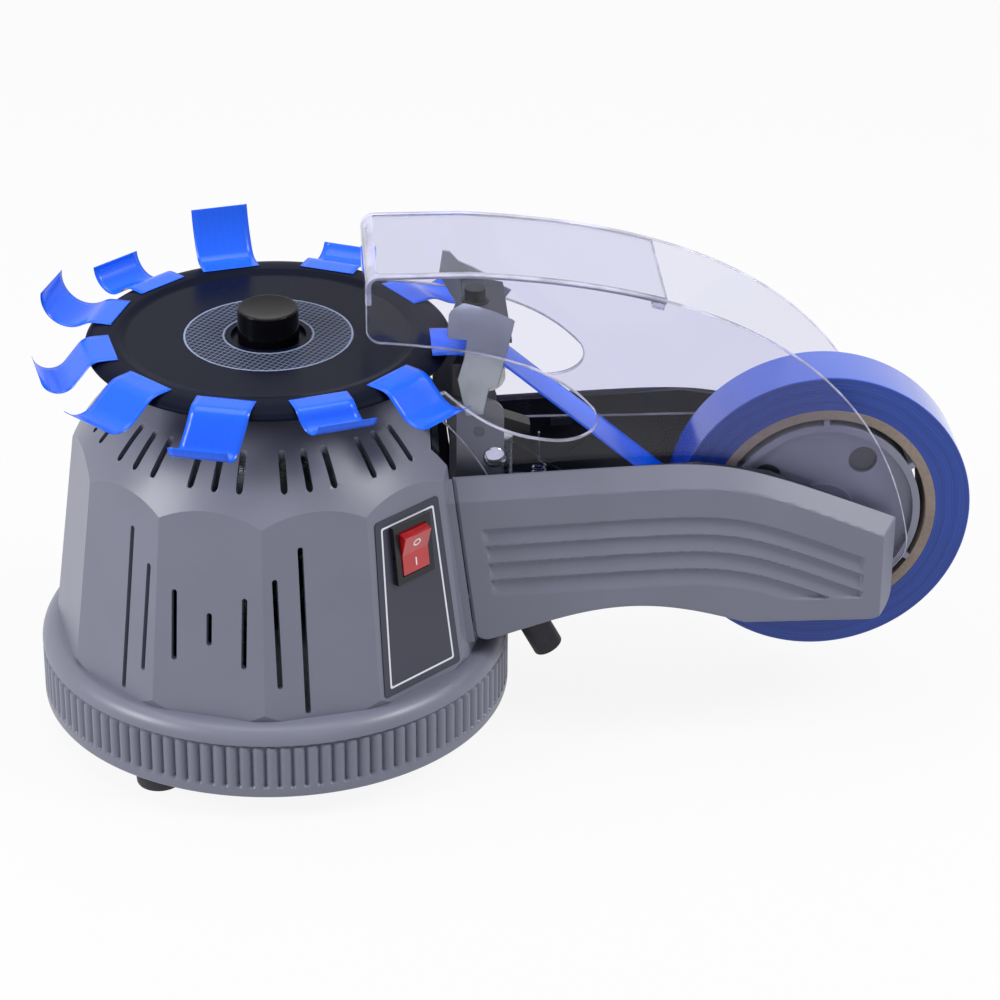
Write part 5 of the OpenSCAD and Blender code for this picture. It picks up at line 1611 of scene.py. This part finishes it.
@dataclass
class SwitchPanel:
    """The label and the marks of the switch, on the body's facet."""

    turn: float = 41.8
    foot_r: float = 81.2
    foot_z: float = 37.0
    lean: float = 7.24
    share: float = math.cos(math.radians(15))
    label_z: Pair = (39.5, 105.7)
    label_w: Pair = (37.5, 31.0)
    label_t: float = 0.4
    label_low: float = 0.01
    round_r: float = 1.4
    ring_in: tuple[float, ...] = (0.0, 2.5, 3.1, 3.7)
    hole_in: float = 9.0
    hole_r: float = 0.2
    switch_z: float = 91.1
    room: Pair = (15.3, 19.4)
    pivot_rise: float = 0.7
    tilt: float = 10.0
    face_rise: float = 2.2
    mark_sunk: float = 0.2
    mark_half: float = 0.26
    ring_half: Pair = (1.5, 1.15)
    ring_up: float = 3.9
    ring_steps: int = 40
    bar_half: float = 0.28
    bar_up: Pair = (-5.4, -2.4)
    bar_t: float = 0.34
    bar_edge: float = 0.08

    def slope(self) -> float:
        """The facet's lean from upright, in radians: less than its corners' lean."""
        return math.atan(math.tan(math.radians(self.lean)) * self.share)

    def placed(self, local: Array, z: float) -> Array:
        """Carries points from the facet's own frame (across, up, outwards) to the object's.

        Args:
            local: rows of across, up and out.
            z: the height at which the frame sits.

        Returns:
            The points in the object's frame.
        """
        r = (self.foot_r - (z - self.foot_z) * math.tan(math.radians(self.lean))) * self.share
        slope, a = self.slope(), math.radians(self.turn)
        out = np.array([math.sin(a), -math.cos(a), 0.0])
        across = np.array([math.cos(a), math.sin(a), 0.0])
        normal = out * math.cos(slope) + np.array([0, 0, math.sin(slope)])
        up = -out * math.sin(slope) + np.array([0, 0, math.cos(slope)])
        origin = out * r + np.array([0, 0, z])
        return origin + local[:, :1] * across + local[:, 1:2] * up + local[:, 2:3] * normal

    def outline(self, half: Pair, span: Pair, r: float) -> Array:
        """A closed outline with round corners and even steps between its points.

        Args:
            half: half of the width at the foot and at the top.
            span: the heights of the foot and the top.
            r: the radius of the corners.

        Returns:
            Rows of across and up, the same number for any outline.
        """
        line = soft_box(half, span, r, 8)
        steps = np.linspace(0, 1, 9)[:-1, None]
        return (line[:, None] + (np.roll(line, -1, 0) - line)[:, None] * steps[None]).reshape(-1, 2)

    def label_ring(self, half: float, inset: float) -> Array:
        """The label's outline drawn in by an even inset.

        Args:
            half: half of the label's height.
            inset: the distance from its edge.

        Returns:
            Rows of across and up.
        """
        low, high = self.label_w[0] / 2, self.label_w[1] / 2
        taper = (low - high) / (2 * half) * inset
        r = max(self.round_r - inset * 0.2, self.round_r / 2)
        span = -half + inset, half - inset
        return self.outline((low - inset - taper, high - inset + taper), span, r)

    def build_label(self) -> None:
        """Rings from the outline in to the switch's hole at the face, and out again at the back.

        They close on themselves, and the chart holds the distance from the label's edge.
        """
        mid, upright = sum(self.label_z) / 2, math.cos(self.slope())
        half = (self.label_z[1] - self.label_z[0]) / 2 / upright
        hole = (self.switch_z - mid) / upright
        wide, high = self.room[0] / 2, self.room[1] / 2
        rings = [self.label_ring(half, inset) for inset in self.ring_in]
        rings.append(self.outline((wide, wide), (hole - high, hole + high), self.hole_r))
        flat = np.stack(rings + rings[::-1])
        size = flat.shape[:2]
        level = np.repeat([self.label_t, self.label_low], len(rings))
        local = np.concatenate([flat, np.broadcast_to(level[:, None, None], size + (1,))], -1)
        depth = self.ring_in + (self.hole_in,)
        rim = np.broadcast_to(np.array(depth + depth[::-1])[:, None], size)
        points = self.placed(local.reshape(-1, 3), mid).reshape(size + (3,))
        Piece("bordered_label", "base", Skin.LABEL, ("switch_label",)).loop(points, edge_chart(rim))

    def rocker_face(self, local: Array) -> Array:
        """Carries points from the rocker's frame, tilted about its pivot, to the object's frame.

        Args:
            local: rows of across, up and out, from the pivot.

        Returns:
            The points in the object's frame.
        """
        c, s = math.cos(math.radians(self.tilt)), math.sin(math.radians(self.tilt))
        x, y, z = local.T
        turned = np.stack([x, y * c - z * s, y * s + z * c + self.pivot_rise], -1)
        return self.placed(turned, self.switch_z)

    def build_marks(self) -> None:
        """A ring and a bar stand on the rocker's two slopes.

        The ring is a rounded section carried round an ellipse, and the bar a rounded plate. Both
        are raised by the slope times the distance from the rocker's middle.
        """
        slope = math.tan(math.radians(self.tilt))
        w = np.linspace(0, 2 * math.pi, self.ring_steps, endpoint=False)
        side = np.array([1, 1, 0, -1, -1])[:, None] * self.mark_half
        lift = np.array([-self.mark_sunk, 0.1, 0.14, 0.1, -self.mark_sunk])[:, None]
        x = (self.ring_half[0] + side) * np.cos(w)
        y = self.ring_up + (self.ring_half[1] + side) * np.sin(w)
        ring = np.stack([x, y, self.face_rise + np.abs(y) * slope + lift], -1)
        points = self.rocker_face(ring.reshape(-1, 3)).reshape(ring.shape)
        Piece("rocker_ring_mark", "rocker_button", Skin.MARK).loop(points)
        outline = oblong((-self.bar_half, self.bar_half), self.bar_up)
        bar, faces = rounded_plate(outline, self.bar_t, self.bar_edge, 3)
        bar[:, 2] += self.face_rise + np.abs(bar[:, 1]) * slope - self.mark_sunk
        Piece("rocker_bar_mark", "rocker_button", Skin.MARK).make(self.rocker_face(bar), faces)

    def build(self) -> None:
        """Makes the label and the marks."""
        self.build_label()
        self.build_marks()


@dataclass(frozen=True)
class Dressing:
    """How some CAD solids are dressed: their finish, and the width of their eased edges."""

    skin: Skin
    edge: float
    names: tuple[str, ...]


@dataclass
class Solids:
    """The CAD solids that show as they are, with eased edges and their own finishes."""

    flat_angle: float = 0.4
    edge_angle: float = 28.0
    dressings: tuple[Dressing, ...] = (
        Dressing(Skin.GREY, 0.4, ("body_shell",)),
        Dressing(Skin.BEZEL, 0.35, ("switch_housing",)),
        Dressing(Skin.RED, 0.35, ("rocker",)),
        Dressing(Skin.BLACK, 0.25, ("near_arm_wall", "far_arm_wall", "arm_floor")),
        Dressing(Skin.RUBBER, 0.5, ("cord_bushing",)),
        Dressing(Skin.RUBBER, 0.8, ("feet",)),
        Dressing(Skin.SHEET, 0.25, ("deck_plate", "base_plate", "motor_bracket")),
        Dressing(Skin.STEEL, 0.25, (
            "deck_posts", "bearing_housing", "spindle", "spindle_nut", "board_posts")),
        Dressing(Skin.STEEL, 0.12, (
            "base_screws", "foot_screws", "shell_screws", "cover_screws", "floor_screws",
            "deck_screws", "bearing_screws", "motor_screws", "plunger", "roll_axle", "guard_pins")),
        Dressing(Skin.STEEL, 0.05, ("cutter_blade",)),
        Dressing(Skin.STEEL, 0.0, ("motor_pinion", "return_spring")),
        Dressing(Skin.WHITE, 0.0, ("drive_gear",)),
        Dressing(Skin.PRINT, 0.0, ("disc_mark",)),
        Dressing(Skin.MOTOR, 0.25, ("gear_motor",)),
        Dressing(Skin.MOTOR, 0.15, ("roller_pin", "lever_pin")),
        Dressing(Skin.BOARD, 0.25, ("circuit_board",)),
        Dressing(Skin.POST_GREY, 0.4, ("head_bracket",)),
        Dressing(Skin.PLATE, 0.25, ("far_guide_plate",)),
        Dressing(Skin.DARK_SHEET, 0.25, ("bridge_plate",)),
        Dressing(Skin.BLACK_STEEL, 0.25, ("bridge_screw", "cutter_lever")),
        Dressing(Skin.CHROME, 0.15, ("head_screws",)),
        Dressing(Skin.SILICONE, 0.2, ("tape_roller",)),
        Dressing(Skin.COIL, 0.5, ("solenoid",)),
        Dressing(Skin.HUB_GREY, 0.4, ("roll_hub",)),
        Dressing(Skin.BOARD_CORE, 0.3, ("tape_core",)))

    def dress(self, nodes: dict[str, bpy.types.Object]) -> None:
        """Gives each solid its finish and eases its edges.

        Args:
            nodes: the CAD objects by name.
        """
        for dressing in self.dressings:
            for name in dressing.names:
                solid = nodes[name]
                solid.data.materials.clear()
                solid.data.materials.append(dressing.skin.value.material())
                self.ease(solid, dressing.edge)
                LOG.info("%s dressed as %s", name, dressing.skin.name)

    def ease(self, solid: bpy.types.Object, edge: float) -> None:
        """Merges a solid's loose triangles, joins its flats and rounds its edges.

        Args:
            solid: the CAD object.
            edge: the width of the rounding in millimetres, or 0 for none.
        """
        solid.modifiers.new("weld", "WELD").merge_threshold = SAME_SPOT
        if edge > 0:
            flats = solid.modifiers.new("flats", "DECIMATE")
            flats.decimate_type = "DISSOLVE"
            flats.angle_limit = math.radians(self.flat_angle)
            round_off = solid.modifiers.new("edges", "BEVEL")
            round_off.width = edge * MM
            round_off.segments = 2
            round_off.limit_method = "ANGLE"
            round_off.angle_limit = math.radians(self.edge_angle)
            round_off.harden_normals = False
        solid.modifiers.new("shade", "WEIGHTED_NORMAL").keep_sharp = True


@dataclass(frozen=True)
class Lamp:
    """A square soft lamp: its name, its place and side in metres, and its power in watts."""

    name: str
    place: tuple[float, float, float]
    side: float
    watts: float


@dataclass
class Studio:
    """The floor, the soft lights and the camera."""

    turn: float = 4.0
    height: float = 28.0
    roll: float = -0.45
    far: float = 1322.0
    shift: Pair = (83.25, 74.03)
    lens: float = 126.0
    sensor: float = 36.0
    sight: float = 50.0
    floor_half: float = 6.0
    floor_colour: Colour = (0.62, 0.62, 0.65)
    floor_white: float = 0.9
    sky: Colour = (0.97, 0.97, 1.0)
    sky_strength: float = 0.42
    middle: tuple[float, float, float] = (0.07, 0.0, 0.08)
    lamps: tuple[Lamp, ...] = (
        Lamp("top_lamp", (-0.1, 0.15, 1.5), 1.1, 10.5),
        Lamp("left_lamp", (-1.2, -0.4, 0.8), 0.5, 13.0),
        Lamp("right_lamp", (1.08, -0.34, 1.13), 0.5, 12.0))

    def stand(self, name: str, data: bpy.types.ID, axes: Sequence[Array]) -> bpy.types.Object:
        """Puts a camera or a lamp into the scene.

        Args:
            name: its name.
            data: the camera's or the lamp's own data.
            axes: its right, up and back directions, and its place in metres.

        Returns:
            The object.
        """
        thing = bpy.data.objects.new(name, data)
        frame = np.eye(4)
        frame[:3, :] = np.stack(axes, -1)
        thing.matrix_world = Matrix(frame.tolist())
        bpy.context.scene.collection.objects.link(thing)
        return thing

    def build_camera(self) -> None:
        """Sets the camera at the photograph's angle, from its turn, height and roll."""
        a, e, w = (math.radians(v) for v in (self.turn, self.height, self.roll))
        right = np.array([math.cos(a), -math.sin(a), 0.0])
        up = np.array([math.sin(a) * math.sin(e), math.cos(a) * math.sin(e), math.cos(e)])
        back = np.array([-math.sin(a) * math.cos(e), -math.cos(a) * math.cos(e), math.sin(e)])
        place = (self.far * back + self.shift[0] * right + self.shift[1] * up) * MM
        across = right * math.cos(w) - up * math.sin(w)
        above = right * math.sin(w) + up * math.cos(w)
        data = bpy.data.cameras.new("view")
        data.lens = self.lens
        data.sensor_width = self.sensor
        data.clip_end = self.sight
        bpy.context.scene.camera = self.stand("view", data, (across, above, back, place))

    def build_floor(self) -> None:
        """A pale floor: white to the eye, darkened only by the shadow that falls on it."""
        sheet = MaterialSheet("pale_floor")
        sheet.dress(Base_Color=self.floor_colour, Roughness=0.9, Specular_IOR_Level=0.0)
        glow = sheet.node("ShaderNodeEmission", {}, {"Color": WHITE_LIGHT, "Strength": 1.0})
        sheet.show(sheet.mixed(sheet.seen() * self.floor_white, sheet.shader, glow))
        half = self.floor_half / MM
        corners = np.pad(oblong((-half, half), (-half, half)), ((0, 0), (0, 1)))
        put_mesh("floor", corners, [[0, 1, 2, 3]], sheet.material)

    def build_world(self) -> None:
        """Even white light from all round, and a white background to the eye."""
        world = bpy.data.worlds.new("studio")
        bpy.context.scene.world = world
        sheet = NodeSheet(world, "ShaderNodeOutputWorld")
        soft, white = (
            sheet.node("ShaderNodeBackground", {}, {"Color": colour, "Strength": strength})
            for colour, strength in ((self.sky, self.sky_strength), (WHITE_LIGHT, 1.0)))
        sheet.show(sheet.mixed(sheet.seen(), soft, white))

    def build_lamp(self, lamp: Lamp) -> None:
        """Hangs a lamp so that it faces the object's middle.

        Args:
            lamp: the lamp's numbers.
        """
        data = bpy.data.lights.new(lamp.name, "AREA")
        data.size = lamp.side
        data.energy = lamp.watts
        place = np.array(lamp.place)
        away = place - np.array(self.middle)
        away /= np.linalg.norm(away)
        right = np.cross([0.0, 1.0, 0.001], away)
        right /= np.linalg.norm(right)
        self.stand(lamp.name, data, (right, np.cross(away, right), away, place))

    def build(self) -> None:
        """Makes the studio."""
        bpy.context.scene.view_settings.view_transform = "Standard"
        self.build_camera()
        self.build_floor()
        self.build_world()
        for lamp in self.lamps:
            self.build_lamp(lamp)


def main() -> None:
    """Builds the dispenser's pieces in order."""
    logging.basicConfig(level=logging.INFO, format="%(name)s: %(message)s")
    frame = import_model()
    Studio().build()
    Solids().dress(frame["nodes"])
    parts = (BaseRing(), Carousel(), TapeStrips(), TapeRoll(), CutterHead(), Guard(), ArmCovers(),
             SwitchPanel())
    for part in parts:
        part.build()
        LOG.info("%s done", type(part).__name__)


if __name__ == "__main__":
    main()
